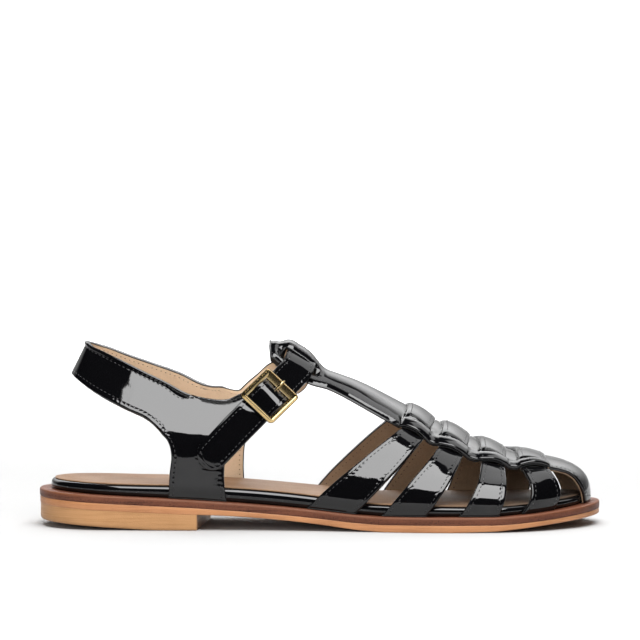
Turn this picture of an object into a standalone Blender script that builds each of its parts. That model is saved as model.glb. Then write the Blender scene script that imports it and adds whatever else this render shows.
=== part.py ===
# Fisherman sandal for the right foot, black patent leather on a low leather sole.
# The toe points along +X, the outer side faces -Y and the floor is the plane z = 0.
import bpy
import bmesh
import numpy as np

MM = 0.001


def table(names, rows):
    """A short table whose columns are read by name."""
    return dict(zip(names.split(), np.array(rows, dtype=float).T))


# Driving sizes, in millimetres
HEEL_END = -127.0
TOE_END = 127.0
OUTSOLE_THICK = 3.2
WELT_THICK = 3.3
INSOLE_THICK = 0.6
WALL = 1.9
GAP = 0.3
BREAST_OUTER = -55.2
BREAST_INNER = -50.2
HEEL_RISE_SLOPE = 0.058
HEEL_RISE_START = -68.0
HEEL_RISE_BEND = 12.0
STRAP_HALF = 7.2
STRAP_OFFSET = 2.3
CROWN_LIFT = 0.8
BUCKLE_HALF = 8.6
BAR_RADIUS = 0.8
CENTRE_BAR_RADIUS = 0.8
HUMP = 2.0

# Plan of the welt: middle line and half width along the shoe
PLAN = table("x middle half", (
    (-127, -1.2, 28.5),
    (-100, -1.2, 30.0),
    (-70, -1.7, 30.5),
    (-40, -3.4, 29.3),
    (-10, -4.4, 29.8),
    (20, -2.7, 35.5),
    (50, -1.2, 41.2),
    (75, 0.3, 42.2),
    (95, 1.8, 40.5),
    (110, 2.8, 38.0),
    (127, 3.8, 36.0),
))

# How far each layer's edge lies inside the welt's plan, and where it ends
WELT_EDGE = {"side": 0.0, "heel": HEEL_END, "toe": TOE_END}
OUTSOLE_EDGE = {"side": 0.2, "heel": HEEL_END + 0.2, "toe": TOE_END - 0.2}
HEEL_EDGE = {"side": 0.4, "heel": HEEL_END + 0.4, "toe": TOE_END - 0.4}
FOOTBED_EDGE = {"side": 4.2, "heel": HEEL_END + 5.2, "toe": TOE_END - 6.3}
INSOLE_EDGE = {"side": 6.0, "heel": HEEL_END + 7.0, "toe": TOE_END - 8.1}
LAST_EDGE = {"side": 3.7, "heel": HEEL_END + 4.7, "toe": TOE_END - 5.8}

# Top of the outsole from the heel seat to the ball, and the two layers' thickness: the outsole
# is pared down under the waist and at the toe
RISE = table("x top", (
    (-127, 13.4),
    (-90, 11.6),
    (-55, 9.9),
    (-25, 7.8),
    (0, 5.55),
    (15, 4.0),
    (27, 3.2),
))
TREAD_END = 78.0
TOE_SPRING = 4.0
OUTSOLE = table("x thick", (
    (-127, 3.2),
    (-64, 3.2),
    (-48, 2.6),
    (-25, 2.25),
    (0, 2.5),
    (18, 3.0),
    (30, 3.2),
    (58, 3.2),
    (74, 2.8),
    (94, 2.15),
    (127, 2.15),
))
FOOTBED = table("x thick", (
    (-122, 4.2),
    (-90, 4.6),
    (-45, 5.7),
    (-10, 5.7),
    (25, 4.7),
    (55, 4.1),
    (121, 3.5),
))

# The last: height and place of its top line, and how full its two sides are
FORM = table("x top ridge outer inner", (
    (-95, 122, -0.6, 1.8, 2.0),
    (-70, 114, 0.4, 1.75, 2.0),
    (-45, 99, 2.4, 1.75, 2.0),
    (-30, 88.5, 3.9, 1.75, 2.05),
    (-20, 79.6, 4.9, 1.82, 2.1),
    (-10, 72.8, 5.6, 1.75, 2.1),
    (2, 68.1, 6.4, 1.7, 2.1),
    (16, 63.0, 7.2, 1.78, 2.1),
    (38, 52.0, 7.8, 1.88, 2.1),
    (53, 44.3, 8.0, 1.9, 2.1),
    (69, 36.9, 8.0, 1.92, 2.2),
    (86, 31.0, 7.4, 2.05, 2.4),
    (103, 28.4, 5.8, 2.6, 2.7),
    (121, 25.6, 4.0, 2.6, 2.7),
))
RIDGE_SOFT = 0.16
TOE_BOX_START = 98.0
TOE_BOX_FULL = 3.5

# Behind the instep the sides swell a little above the footbed and then lean in to the ankle
LEAN = 0.22
LEAN_HEIGHT = 40.5
LEAN_BEND = 5.0
SWELL = 1.0
SWELL_HEIGHT = 37.5
SWELL_REACH = 10.0
LEAN_FRONT = -22.0
LEAN_BLEND = 26.0

# Woven straps: their two edges at the ridge, at the centre strip's edge and at the welt,
# and how far the inner side's strap lies behind the outer one at the strip and at the welt
STRAPS = table("ridge_a ridge_b edge_a edge_b foot_a foot_b bow_a bow_b edge_shift foot_shift", (
    (38.7, 51.5, 36.5, 46.0, -5.7, 15.8, -3.0, 0.0, 0.0, 1.5),
    (54.7, 67.5, 53.1, 63.7, 27.7, 47.3, 0.0, 1.0, -4.0, -1.5),
    (71.3, 84.0, 72.3, 82.7, 62.0, 79.8, 2.0, 1.5, -8.5, -5.5),
    (88.5, 101.9, 90.3, 102.2, 89.9, 104.7, 4.0, 3.5, -10.0, -9.0),
))
WEAVE = table("share bump", (
    (0.0, 0.0),
    (0.06, 1.6),
    (0.35, 1.9),
    (0.65, 1.7),
    (0.94, 1.1),
    (1.0, 0.0),
))
STRAP_STEPS = (0.035, 0.18, 0.36, 0.54, 0.72, 0.88, 1.0)
ARCH = 1.5

# Centre strip: height of its outer edge and the strip's own middle line
STRIP = table("x edge_z middle", (
    (-24, 77.4, 3.0),
    (-13, 68.6, 3.0),
    (-5.8, 64.2, 2.8),
    (3.9, 61.2, 2.6),
    (13.1, 56.8, 2.4),
    (21.2, 52.4, 2.4),
    (36.2, 44.3, 2.4),
    (53, 35.9, 2.6),
    (69, 30.0, 3.0),
    (86, 26.3, 3.6),
    (103, 25.4, 4.4),
    (108, 24.3, 4.4),
    (112, 22.7, 4.2),
    (114.8, 20.3, 4.0),
    (116.8, 17.0, 4.0),
    (118.0, 13.6, 4.0),
    (118.8, 8.0, 4.0),
))
INNER_LEAD = 7.5
INNER_LEAD_START = 98.0
INNER_LEAD_LENGTH = 10.0
AT_WELT = 118.4
STRIP_COLUMNS = (1.0, 0.88, 0.77, 0.69, 0.35)
TAB_COLUMNS = (1.0, 0.82, 0.66, 0.58, 0.29)
TONGUE = 3
TOE_ROWS = (104.5, 107.5, 110.3, 112.8, 114.7, 116.3, 117.6, 118.5, 119.5, 120.3, 120.85, 121.13)

# T-bar: rows along it and the lift of its middle tongue over the ankle strap
TBAR = table("x lift", (
    (-23.4, 0.5),
    (-21.8, 0.6),
    (-20.2, 1.6),
    (-18.4, 4.5),
    (-16.6, 5.5),
    (-13.6, 5.7),
    (-10.5, 5.7),
    (-7.4, 5.7),
    (-4.4, 5.4),
    (-2.6, 4.4),
    (-0.6, 1.8),
    (1.4, 0.4),
    (3.4, 0.0),
    (9.0, 0.0),
    (15.0, 0.0),
    (21.0, 0.0),
    (27.0, 0.0),
    (33.0, 0.0),
))
SLIT_START = -20.5
SLIT_END = 1.2

# Quarters: rear and front edge of each, row by row from the welt up to the strap
OUTER_QUARTER = table("rear_x rear_z front_x front_z", (
    (-67.8, 0.0, -42.0, 0.0),
    (-67.7, 18.0, -42.5, 18.0),
    (-67.4, 25.0, -42.9, 24.0),
    (-66.6, 33.0, -42.5, 30.0),
    (-67.8, 38.8, -41.2, 34.0),
    (-70.6, 42.4, -39.5, 37.5),
    (-64.6, 50.9, -36.5, 41.5),
    (-58.2, 59.6, -33.0, 45.2),
    (-49.0, 57.5, -29.7, 47.8),
    (-42.0, 57.3, -27.2, 49.6),
    (-37.0, 59.2, -24.0, 51.4),
    (-30.6, 62.2, -21.2, 53.6),
))
INNER_QUARTER = table("rear_x rear_z front_x front_z", (
    (-61.5, 0.0, -34.5, 0.0),
    (-61.4, 18.0, -34.8, 18.0),
    (-61.3, 25.0, -35.0, 24.5),
    (-61.0, 35.0, -34.8, 31.0),
    (-62.0, 41.5, -34.2, 35.0),
    (-64.4, 45.8, -33.2, 38.2),
    (-58.6, 54.0, -31.6, 41.6),
    (-52.4, 61.6, -29.8, 44.4),
    (-44.6, 60.9, -27.8, 46.6),
))
JUNCTION = (5, 6, 7)

# Sling round the heel: lower and upper edge by the angle round the heel's back
HEEL_CENTRE = -80.0
HEEL_DEPTH = 30.9
HEEL_LEAN = 0.5
HEEL_LEVEL = 68.0
HEEL_FULL = 2.3
SLING = table("angle low high", (
    (-90, 53.5, 69.8),
    (-70, 58.3, 74.5),
    (-50, 62.3, 77.8),
    (-30, 65.5, 80.1),
    (-12, 67.2, 81.7),
    (0, 67.4, 82.0),
    (12, 67.2, 81.9),
    (30, 65.9, 80.8),
    (50, 63.8, 78.9),
    (70, 60.2, 75.8),
    (90, 56.0, 72.0),
))
SLING_ROOTS = table("side low_x low_z high_x high_z", (
    (-1, -77.6, 49.0, -69.4, 65.2),
    (1, -73.6, 52.0, -64.2, 67.0),
))

# Middle line of the ankle strap, from the inner quarter over the instep to its free end
ANKLE_INNER = table("x z", ((-31.0, 55.0), (-24.4, 60.6), (-18.2, 65.4)))
ANKLE_TOP = table("x phi", ((-13.0, 0.62), (-10.8, 0.25), (-10.4, -0.1), (-11.4, -0.45)))
ANKLE_OUTER = table("x z", (
    (-14.5, 66.4),
    (-19.0, 62.0),
    (-24.0, 57.2),
    (-31.0, 50.4),
    (-39.0, 42.7),
    (-47.0, 35.0),
    (-53.0, 29.2),
))
BUCKLE_X = -23.2
PRONG = table("along out radius", (
    (3.0, 3.9, 0.55),
    (5.2, 5.9, 0.7),
    (7.2, 7.0, 0.7),
    (8.8, 9.0, 0.7),
    (9.8, 6.9, 0.55),
))


def smooth(x, xs, ys):
    """Cubic curve through a table's rows, held level past its ends."""
    slope = np.gradient(ys, xs)
    i = np.clip(np.searchsorted(xs, x) - 1, 0, len(xs) - 2)
    h = xs[i + 1] - xs[i]
    s = np.clip((x - xs[i]) / h, 0.0, 1.0)
    first = (2 * s**3 - 3 * s**2 + 1) * ys[i] + (s**3 - 2 * s**2 + s) * h * slope[i]
    return first + (3 * s**2 - 2 * s**3) * ys[i + 1] + (s**3 - s**2) * h * slope[i + 1]


def rounding(x, start, end, power):
    """Factor that falls from 1 at start to 0 at end along a rounded corner."""
    s = np.clip((x - start) / (end - start), 0.0, 1.0)
    return (1 - s**power) ** (1 / power)


def plan(x, edge):
    """Outer and inner edge of a layer at x: the welt's plan drawn in and rounded at both ends."""
    middle = smooth(x, PLAN["x"], PLAN["middle"])
    half = smooth(x, PLAN["x"], PLAN["half"]) - edge["side"]
    half = half * rounding(x, edge["heel"] + 32, edge["heel"], 2.2)
    half = half * rounding(x, edge["toe"] - 48, edge["toe"], 2.1)
    return middle - half, middle + half


def outsole_top(x):
    """Top of the outsole: seat and arch behind the ball, flat tread, then the toe spring."""
    arch = np.maximum(smooth(x, RISE["x"], RISE["top"]), OUTSOLE_THICK)
    toe = np.clip((x - TREAD_END) / (TOE_END - TREAD_END), 0.0, 1.0)
    return np.where(x > RISE["x"][-1], OUTSOLE_THICK + TOE_SPRING * toe**1.35, arch)


def sole_under(x):
    return outsole_top(x) - np.minimum(smooth(x, OUTSOLE["x"], OUTSOLE["thick"]), OUTSOLE_THICK)


def heel_floor(x):
    """Underside of the heel: level in front, then bending up to a slight slope at the back."""
    behind = np.maximum(HEEL_RISE_START - x, 0.0)
    bend = np.minimum(behind, HEEL_RISE_BEND)
    return HEEL_RISE_SLOPE * (bend**2 / (2 * HEEL_RISE_BEND) + behind - bend)


def welt_under(x):
    return outsole_top(x) + GAP


def welt_top(x):
    return welt_under(x) + WELT_THICK


def footbed_under(x):
    return welt_top(x) + GAP


def footbed_top(x):
    return footbed_under(x) + smooth(x, FOOTBED["x"], FOOTBED["thick"])


def insole_under(x):
    return footbed_top(x) + GAP


def insole_top(x):
    return insole_under(x) + INSOLE_THICK


def make(name, points, faces, colour, roughness, metallic=0.0):
    """One closed solid with its own material, from points in millimetres."""
    mesh = bpy.data.meshes.new(name)
    mesh.from_pydata([tuple(p) for p in np.asarray(points) * MM], [], faces)
    form = bmesh.new()
    form.from_mesh(mesh)
    bmesh.ops.recalc_face_normals(form, faces=form.faces)
    form.to_mesh(mesh)
    form.free()
    material = bpy.data.materials.new(name)
    material.use_nodes = True
    shader = material.node_tree.nodes["Principled BSDF"]
    shader.inputs["Base Color"].default_value = (*colour, 1.0)
    shader.inputs["Roughness"].default_value = roughness
    shader.inputs["Metallic"].default_value = metallic
    mesh.materials.append(material)
    solid = bpy.data.objects.new(name, mesh)
    bpy.context.collection.objects.link(solid)
    return solid


def layer(name, edge, under, over, profile, colour, roughness, stations=42):
    """Sole layer: a profile of inset and level carried round the plan from heel to toe."""
    points = []
    rows = []
    for k in range(stations + 1):
        share = (1 - np.cos(np.pi * k / stations)) / 2
        sides = ([], [])
        for inset, level in profile:
            heel = edge["heel"] + inset
            toe = edge["toe"] - inset
            x = heel + (toe - heel) * share
            drawn = {"side": edge["side"] + inset, "heel": heel, "toe": toe}
            z = under(x) + (over(x) - under(x)) * level
            for side, y in zip(sides, plan(x, drawn)):
                side.append(len(points))
                points.append((x, y, z))
                if k in (0, stations) and side is sides[0]:
                    sides[1].append(side[-1])
                    break
        rows.append(sides)
    faces = []
    for near, far in zip(rows, rows[1:]):
        for a, b in zip(near, far):
            for j in range(len(profile) - 1):
                faces.append((a[j], a[j + 1], b[j + 1], b[j]))
        for j in (0, -1):
            cap = (near[0][j], near[1][j], far[1][j], far[0][j])
            faces.append(tuple(dict.fromkeys(cap)))
    return make(name, points, faces, colour, roughness)


def heel_block():
    """Low heel between the floor and the outsole, with a slanted breast."""
    profile = ((1.2, 0.0, 0.0), (0.25, 1.0, 0.0), (0.0, 2.0, 0.0), (0.0, 0.0, 1.0))
    stations = 16
    points = []
    rows = []
    for k in range(stations + 1):
        share = 1 - np.cos(np.pi / 2 * k / stations)
        sides = ([], [])
        for inset, lift, level in profile:
            heel = HEEL_EDGE["heel"] + inset
            drawn = {"side": HEEL_EDGE["side"] + inset, "heel": heel, "toe": HEEL_EDGE["toe"]}
            for i, breast in enumerate((BREAST_OUTER, BREAST_INNER)):
                x = heel + (breast - heel) * share
                floor = lift + heel_floor(x)
                z = floor + (sole_under(x) - GAP - floor) * level
                if k == 0 and i == 1:
                    sides[1].append(sides[0][-1])
                    continue
                sides[i].append(len(points))
                points.append((x, plan(x, drawn)[i], z))
        rows.append(sides)
    faces = []
    for near, far in zip(rows, rows[1:]):
        for a, b in zip(near, far):
            for j in range(len(profile) - 1):
                faces.append((a[j], a[j + 1], b[j + 1], b[j]))
        for j in (0, -1):
            cap = (near[0][j], near[1][j], far[1][j], far[0][j])
            faces.append(tuple(dict.fromkeys(cap)))
    outer, inner = rows[-1]
    faces.append(tuple(outer + inner[::-1]))
    return make("heel_block", points, faces, (0.62, 0.36, 0.16), 0.55)


def section(x, phi):
    """Sizes of the last's cross-section at x: foot, height, ridge, reach and fullness."""
    outer, inner = plan(x, LAST_EDGE)
    foot = welt_top(x) + GAP
    top = smooth(x, FORM["x"], FORM["top"])
    height = (top - foot) * rounding(x, TOE_BOX_START, LAST_EDGE["toe"], TOE_BOX_FULL)
    ridge = smooth(x, FORM["x"], FORM["ridge"])
    ridge = np.clip(ridge, outer, inner)
    reach = np.where(phi < 0, ridge - outer, inner - ridge)
    full = np.where(phi < 0, smooth(x, FORM["x"], FORM["outer"]), smooth(x, FORM["x"], FORM["inner"]))
    return foot, height, ridge, reach, full


def soft_power(t, full):
    """t to the power full, rounded off at zero so that the ridge has no crease."""
    low = RIDGE_SOFT**full
    return ((t**2 + RIDGE_SOFT**2) ** (full / 2) - low) / ((1 + RIDGE_SOFT**2) ** (full / 2) - low)


def lean(x, z):
    """How far the sides behind the instep lie inside the last's plain cross-section."""
    blend = np.clip((LEAN_FRONT - x) / LEAN_BLEND, 0.0, 1.0)
    above = z - LEAN_HEIGHT
    inward = LEAN * (np.sqrt(above**2 + LEAN_BEND**2) + above) / 2
    swell = SWELL * np.exp(-(((z - SWELL_HEIGHT) / SWELL_REACH) ** 2))
    return blend * blend * (3 - 2 * blend) * (inward - swell)


def last_point(x, phi):
    """Point of the last: phi runs from -90 degrees at the outer foot over the ridge to +90."""
    foot, height, ridge, reach, full = section(x, phi)
    t = np.abs(np.sin(phi)) ** (2 / full)
    z = foot + height * np.clip(1 - soft_power(t, full), 0.0, 1.0) ** (1 / full)
    y = ridge + np.sign(phi) * (reach * t - lean(x, z))
    return np.stack(np.broadcast_arrays(x, y, z), axis=-1)


def last_normal(x, phi):
    """Outward direction of the last, from neighbouring points of its surface."""
    right = np.pi / 2
    ahead = np.minimum(x + 0.05, LAST_EDGE["toe"] - 0.01)
    along = last_point(ahead, phi) - last_point(x - 0.05, phi)
    round_it = last_point(x, np.minimum(phi + 0.01, right)) - last_point(x, np.maximum(phi - 0.01, -right))
    out = np.cross(along, round_it)
    return out / np.linalg.norm(out, axis=-1, keepdims=True)


def phi_at_height(x, z, side):
    """Place on the outer (side -1) or inner (side 1) flank of the last at height z."""
    foot, height, ridge, reach, full = section(x, side * 1.0)
    level = np.clip((z - foot) / height, 0.0, 1.0)
    low = RIDGE_SOFT**full
    fall = (1 - level**full) * ((1 + RIDGE_SOFT**2) ** (full / 2) - low) + low
    t = np.sqrt(np.maximum(fall ** (2 / full) - RIDGE_SOFT**2, 0.0))
    return side * np.arcsin(np.clip(t ** (full / 2), 0.0, 1.0))


def phi_at_width(x, y):
    """Place on the last at the sideways distance y."""
    side = np.where(y < section(x, 1.0)[2], -1.0, 1.0)
    foot, height, ridge, reach, full = section(x, side)
    return side * np.arcsin(np.clip(np.abs(y - ridge) / reach, 0.0, 1.0) ** (full / 2))


class Wall:
    """Leather wall: a net of faces with an inner and an outer point at each knot."""

    def __init__(self):
        self.inner = []
        self.outer = []
        self.faces = []

    def knot(self, point, normal, near, far):
        self.inner.append(np.asarray(point) + np.asarray(normal) * near)
        self.outer.append(np.asarray(point) + np.asarray(normal) * far)
        return len(self.inner) - 1

    def on_last(self, x, phi, near, far):
        return self.knot(last_point(x, phi), last_normal(x, phi), near, far)

    def net(self, rows, skip=()):
        for i, (near, far) in enumerate(zip(rows, rows[1:])):
            for j in range(len(near) - 1):
                if (i, j) not in skip:
                    self.faces.append((near[j], near[j + 1], far[j + 1], far[j]))

    def solid(self, name, colour, roughness):
        count = len(self.inner)
        faces = [tuple(count + i for i in face) for face in self.faces]
        faces += [face[::-1] for face in self.faces]
        rim = {}
        for face in self.faces:
            for a, b in zip(face, face[1:] + face[:1]):
                rim.setdefault(frozenset((a, b)), []).append((a, b))
        for uses in rim.values():
            if len(uses) == 1:
                a, b = uses[0]
                faces.append((a, b, count + b, count + a))
        return make(name, self.inner + self.outer, faces, colour, roughness)


def inner_lead(x):
    """How far ahead of the outer side the toe cap comes down on the inner side."""
    share = np.clip((x - INNER_LEAD_START) / INNER_LEAD_LENGTH, 0.0, 1.0)
    return share * share * (3 - 2 * share)


def strip_edges(x):
    """Places of the centre strip's outer and inner edge on the last at x."""
    outer = phi_at_height(x, smooth(x, STRIP["x"], STRIP["edge_z"]), -1)
    y = 2 * smooth(x, STRIP["x"], STRIP["middle"]) - last_point(x, outer)[1]
    lead = inner_lead(x)
    ahead = phi_at_height(x, smooth(x + INNER_LEAD * lead, STRIP["x"], STRIP["edge_z"]), 1)
    inner = phi_at_width(x, y)
    return outer, inner + (ahead - inner) * lead


def edge_knots(side):
    """Where the straps' edges lie at the ridge and at the strip's outer or inner edge."""
    ridge = [-23.4, 3.4]
    edge = [-22.6, 3.0]
    for k in range(len(STRAPS["ridge_a"])):
        shift = STRAPS["edge_shift"][k] if side > 0 else 0.0
        ridge += [STRAPS["ridge_a"][k], STRAPS["ridge_b"][k]]
        edge += [STRAPS["edge_a"][k] + shift, STRAPS["edge_b"][k] + shift]
    return ridge + [112.0, 121.0], edge + [112.0, 121.0]


def strip_row(wall, ridge_x, lift, share, bump):
    """Knots of one row across the centre strip, raised where straps pass over or under it."""
    outer_x = np.interp(ridge_x, *edge_knots(-1))
    inner_x = np.interp(ridge_x, *edge_knots(1))
    outer = strip_edges(outer_x)[0]
    inner = strip_edges(inner_x)[1]
    shares = [np.interp(ridge_x, (3.4, 33.0), ends) for ends in zip(TAB_COLUMNS, STRIP_COLUMNS)]
    columns = [(-c, i >= TONGUE, outer_x, outer) for i, c in enumerate(shares)]
    columns += [(0.0, True, ridge_x, 0.0)]
    columns += [(-c, tongue, inner_x, inner) for c, tongue, _, _ in columns[-2::-1]]
    row = []
    for c, tongue, edge_x, edge_phi in columns:
        x = ridge_x + (edge_x - ridge_x) * c * c
        near = lift if tongue else 0.0
        far = WALL + near
        if share is not None:
            if tongue:
                far += bump
            else:
                far += ARCH * np.sin(np.pi * share) * (abs(c) - 0.5) / 0.5
        lead = INNER_LEAD * inner_lead(edge_x) if c > 0 else 0.0
        if abs(c) == 1.0 and edge_x + lead > AT_WELT:
            far = 0.8
        row.append(wall.on_last(x, edge_phi * abs(c), near, far))
    return row


def upper():
    """Toe cap, four woven straps and T-bar in one wall, open between the straps and below."""
    wall = Wall()
    rows = []
    skip = set()
    for x, lift in zip(TBAR["x"], TBAR["lift"]):
        rows.append(strip_row(wall, x, lift, None, 0.0))
    for i in range(len(rows) - 1):
        if SLIT_START < TBAR["x"][i] and TBAR["x"][i + 1] < SLIT_END + 0.5:
            skip |= {(i, 2), (i, len(STRIP_COLUMNS) * 2 - 3)}
    feet = []
    for k in range(len(STRAPS["ridge_a"])):
        if k:
            between = (STRAPS["ridge_b"][k - 1] + STRAPS["ridge_a"][k]) / 2
            rows.append(strip_row(wall, between, 0.0, None, 0.0))
        first = len(rows)
        for share, bump in zip(WEAVE["share"], WEAVE["bump"]):
            ridge_x = STRAPS["ridge_a"][k] + share * (STRAPS["ridge_b"][k] - STRAPS["ridge_a"][k])
            rows.append(strip_row(wall, ridge_x, 0.0, share, bump))
        feet.append((k, first))
    for x in TOE_ROWS:
        rows.append(strip_row(wall, x, 0.0, None, 0.0))
    wall.net(rows, skip)
    tip_x = LAST_EDGE["toe"]
    tip_y = smooth(tip_x, PLAN["x"], PLAN["middle"])
    tip = wall.knot((tip_x, tip_y, welt_top(tip_x) + GAP), (1.0, 0.0, 0.0), 0.0, 0.8)
    for a, b in zip(rows[-1], rows[-1][1:]):
        wall.faces.append((a, b, tip))
    for k, first in feet:
        for side, column in ((-1, 0), (1, -1)):
            net = [[rows[first + i][column] for i in range(len(WEAVE["share"]))]]
            for step in STRAP_STEPS:
                net.append([strap_knot(wall, k, side, share, step) for share in WEAVE["share"]])
            wall.net(net)
    return wall.solid("upper", (0.012, 0.012, 0.014), 0.12)


def strap_knot(wall, k, side, share, step):
    """Knot of a woven strap's flank: straight from strip to welt as seen from the side."""
    ridge_x = STRAPS["ridge_a"][k] + share * (STRAPS["ridge_b"][k] - STRAPS["ridge_a"][k])
    edge_x = np.interp(ridge_x, *edge_knots(side))
    shift = STRAPS["foot_shift"][k] if side > 0 else 0.0
    foot_x = STRAPS["foot_a"][k] + share * (STRAPS["foot_b"][k] - STRAPS["foot_a"][k]) + shift
    bow = STRAPS["bow_a"][k] + share * (STRAPS["bow_b"][k] - STRAPS["bow_a"][k])
    x = edge_x + (foot_x - edge_x) * step + 4 * bow * step * (1 - step)
    top = last_point(edge_x, strip_edges(edge_x)[0 if side < 0 else 1])[2]
    z = top + (welt_top(x) + GAP - top) * step
    return wall.on_last(x, phi_at_height(x, z, side), 0.0, 0.8 if step == 1.0 else WALL)


def heel_point(angle, z):
    """Point of the heel's back: a full round in plan that leans forward as it rises."""
    turn = np.radians(max(90 - abs(angle), 0.0))
    side = -1 if angle < 0 else 1
    half = abs(last_point(HEEL_CENTRE, phi_at_height(HEEL_CENTRE, z, side))[1])
    x = HEEL_CENTRE + HEEL_LEAN * (z - HEEL_LEVEL) - HEEL_DEPTH * np.sin(turn) ** (2 / HEEL_FULL)
    return np.array((x, side * half * np.cos(turn) ** (2 / HEEL_FULL), z))


def heel_normal(angle, z):
    along = heel_point(angle + 0.5, z) - heel_point(angle - 0.5, z)
    rise = heel_point(angle, z + 0.5) - heel_point(angle, z - 0.5)
    out = np.cross(rise, along)
    return out / np.linalg.norm(out)


def strap_line():
    """Ankle strap's middle line on the last, closely spaced, with its length and directions."""
    places = []
    for x, z in zip(ANKLE_INNER["x"], ANKLE_INNER["z"]):
        places.append((x, phi_at_height(x, z, 1)))
    places += list(zip(ANKLE_TOP["x"], ANKLE_TOP["phi"]))
    for x, z in zip(ANKLE_OUTER["x"], ANKLE_OUTER["z"]):
        places.append((x, phi_at_height(x, z, -1)))
    places = np.array(places, dtype=float)
    count = np.arange(len(places), dtype=float)
    fine = np.linspace(0, len(places) - 1, 401)
    x = smooth(fine, count, places[:, 0])
    phi = smooth(fine, count, places[:, 1])
    points = last_point(x, phi)
    normals = last_normal(x, phi)
    for _ in range(40):
        normals[1:-1] = (normals[:-2] + 2 * normals[1:-1] + normals[2:]) / 4
    ahead = np.gradient(points, axis=0)
    ahead /= np.linalg.norm(ahead, axis=1, keepdims=True)
    across = np.cross(normals, ahead)
    across /= np.linalg.norm(across, axis=1, keepdims=True)
    normals = np.cross(ahead, across)
    length = np.concatenate(([0.0], np.cumsum(np.linalg.norm(np.diff(points, axis=0), axis=1))))
    return length, points, across, normals


LENGTH, LINE, ACROSS, OUTWARD = strap_line()
CROWN = LENGTH[np.argmax(LINE[:, 2])]
BUCKLE_AT = np.interp(-BUCKLE_X, -LINE[LENGTH > CROWN, 0], LENGTH[LENGTH > CROWN])


def strap_point(at, across, out):
    """Point beside the ankle strap: distance along it, across it and out from the last."""
    axes = []
    for values in (LINE, ACROSS, OUTWARD):
        axes.append(np.array([np.interp(at, LENGTH, values[:, i]) for i in range(3)]))
    return axes[0] + axes[1] * across + axes[2] * out


BUCKLE_SEAT = strap_point(BUCKLE_AT, 0.0, 0.0)
BUCKLE_OUTWARD = strap_point(BUCKLE_AT, 0.0, 1.0) - BUCKLE_SEAT
BUCKLE_AHEAD = strap_point(BUCKLE_AT + 4.0, 0.0, 0.0) - strap_point(BUCKLE_AT - 2.0, 0.0, 0.0)
BUCKLE_ACROSS = np.cross(BUCKLE_OUTWARD, BUCKLE_AHEAD)
BUCKLE_ACROSS /= np.linalg.norm(BUCKLE_ACROSS)
BUCKLE_AHEAD = np.cross(BUCKLE_ACROSS, BUCKLE_OUTWARD)
BUCKLE_AHEAD /= np.linalg.norm(BUCKLE_AHEAD)


def buckle_point(along, across, out):
    """Point of the stiff buckle: distances along and across the strap and out from the last."""
    return BUCKLE_SEAT + BUCKLE_AHEAD * along + BUCKLE_ACROSS * across + BUCKLE_OUTWARD * out


def strap_lift(at):
    """Strap's distance from the last: on the skin at the quarter, over the buckle's bar beyond."""
    rise = np.clip(at / 14.0, 0.0, 1.0)
    rise = STRAP_OFFSET * rise * rise * (3 - 2 * rise)
    rise += CROWN_LIFT * np.cos(np.clip((at - CROWN) / 26.0, -1.0, 1.0) * np.pi / 2) ** 2
    hump = np.clip(abs(at - BUCKLE_AT) / 6.4, 0.0, 1.0)
    return rise + HUMP * np.cos(hump * np.pi / 2) ** 2


def quarter_rows(wall, sizes, side):
    """Rows of a quarter from the welt upward, five knots from its rear to its front edge."""
    rows = []
    for rear_x, rear_z, front_x, front_z in zip(*sizes.values()):
        row = []
        for share in (0.0, 0.25, 0.5, 0.75, 1.0):
            x = rear_x + (front_x - rear_x) * share
            z = rear_z + (front_z - rear_z) * share
            row.append(wall.on_last(x, phi_at_height(x, z, side), 0.0, 0.8 if rear_z == 0 else WALL))
        rows.append(row)
    return rows


def sling_root(wall, i):
    """Knots of the sling where it leaves a quarter, still on the last's flank."""
    line = []
    for share in (0.0, 0.5, 1.0):
        x = SLING_ROOTS["low_x"][i] + share * (SLING_ROOTS["high_x"][i] - SLING_ROOTS["low_x"][i])
        z = SLING_ROOTS["low_z"][i] + share * (SLING_ROOTS["high_z"][i] - SLING_ROOTS["low_z"][i])
        line.append(wall.on_last(x, phi_at_height(x, z, SLING_ROOTS["side"][i]), 0.0, WALL))
    return line


def quarter_strap():
    """Both quarters, the sling round the heel and the ankle strap, cut as one strip of leather."""
    wall = Wall()
    outer = quarter_rows(wall, OUTER_QUARTER, -1)
    inner = quarter_rows(wall, INNER_QUARTER, 1)
    sling = [[outer[i][0] for i in JUNCTION], sling_root(wall, 0)]
    for angle, low, high in zip(*SLING.values()):
        line = []
        for z in (low, (low + high) / 2, high):
            line.append(wall.knot(heel_point(angle, z), heel_normal(angle, z), 0.0, WALL))
        sling.append(line)
    sling += [sling_root(wall, 1), [inner[i][0] for i in JUNCTION]]
    tip_places = LENGTH[-1] - np.array((5.0, 3.2, 1.6, 0.5, 0.0))
    places = np.append(np.linspace(0, LENGTH[-1] - 7.0, 44), tip_places)
    strap = list(inner)
    for at in places:
        tip = np.clip((at - (LENGTH[-1] - STRAP_HALF)) / STRAP_HALF, 0.0, 0.97)
        half = STRAP_HALF * np.sqrt(1 - tip**2)
        near = strap_lift(at)
        row = []
        for share in (-1.0, -0.5, 0.0, 0.5, 1.0):
            point = strap_point(at, share * half, near)
            skin = strap_point(at, share * half, near + WALL) - point
            row.append(wall.knot(point, skin, 0.0, 1.0))
        strap.append(row)
    wall.net(outer)
    wall.net(sling)
    wall.net(strap)
    return wall.solid("quarter_strap", (0.012, 0.012, 0.014), 0.12)


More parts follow.
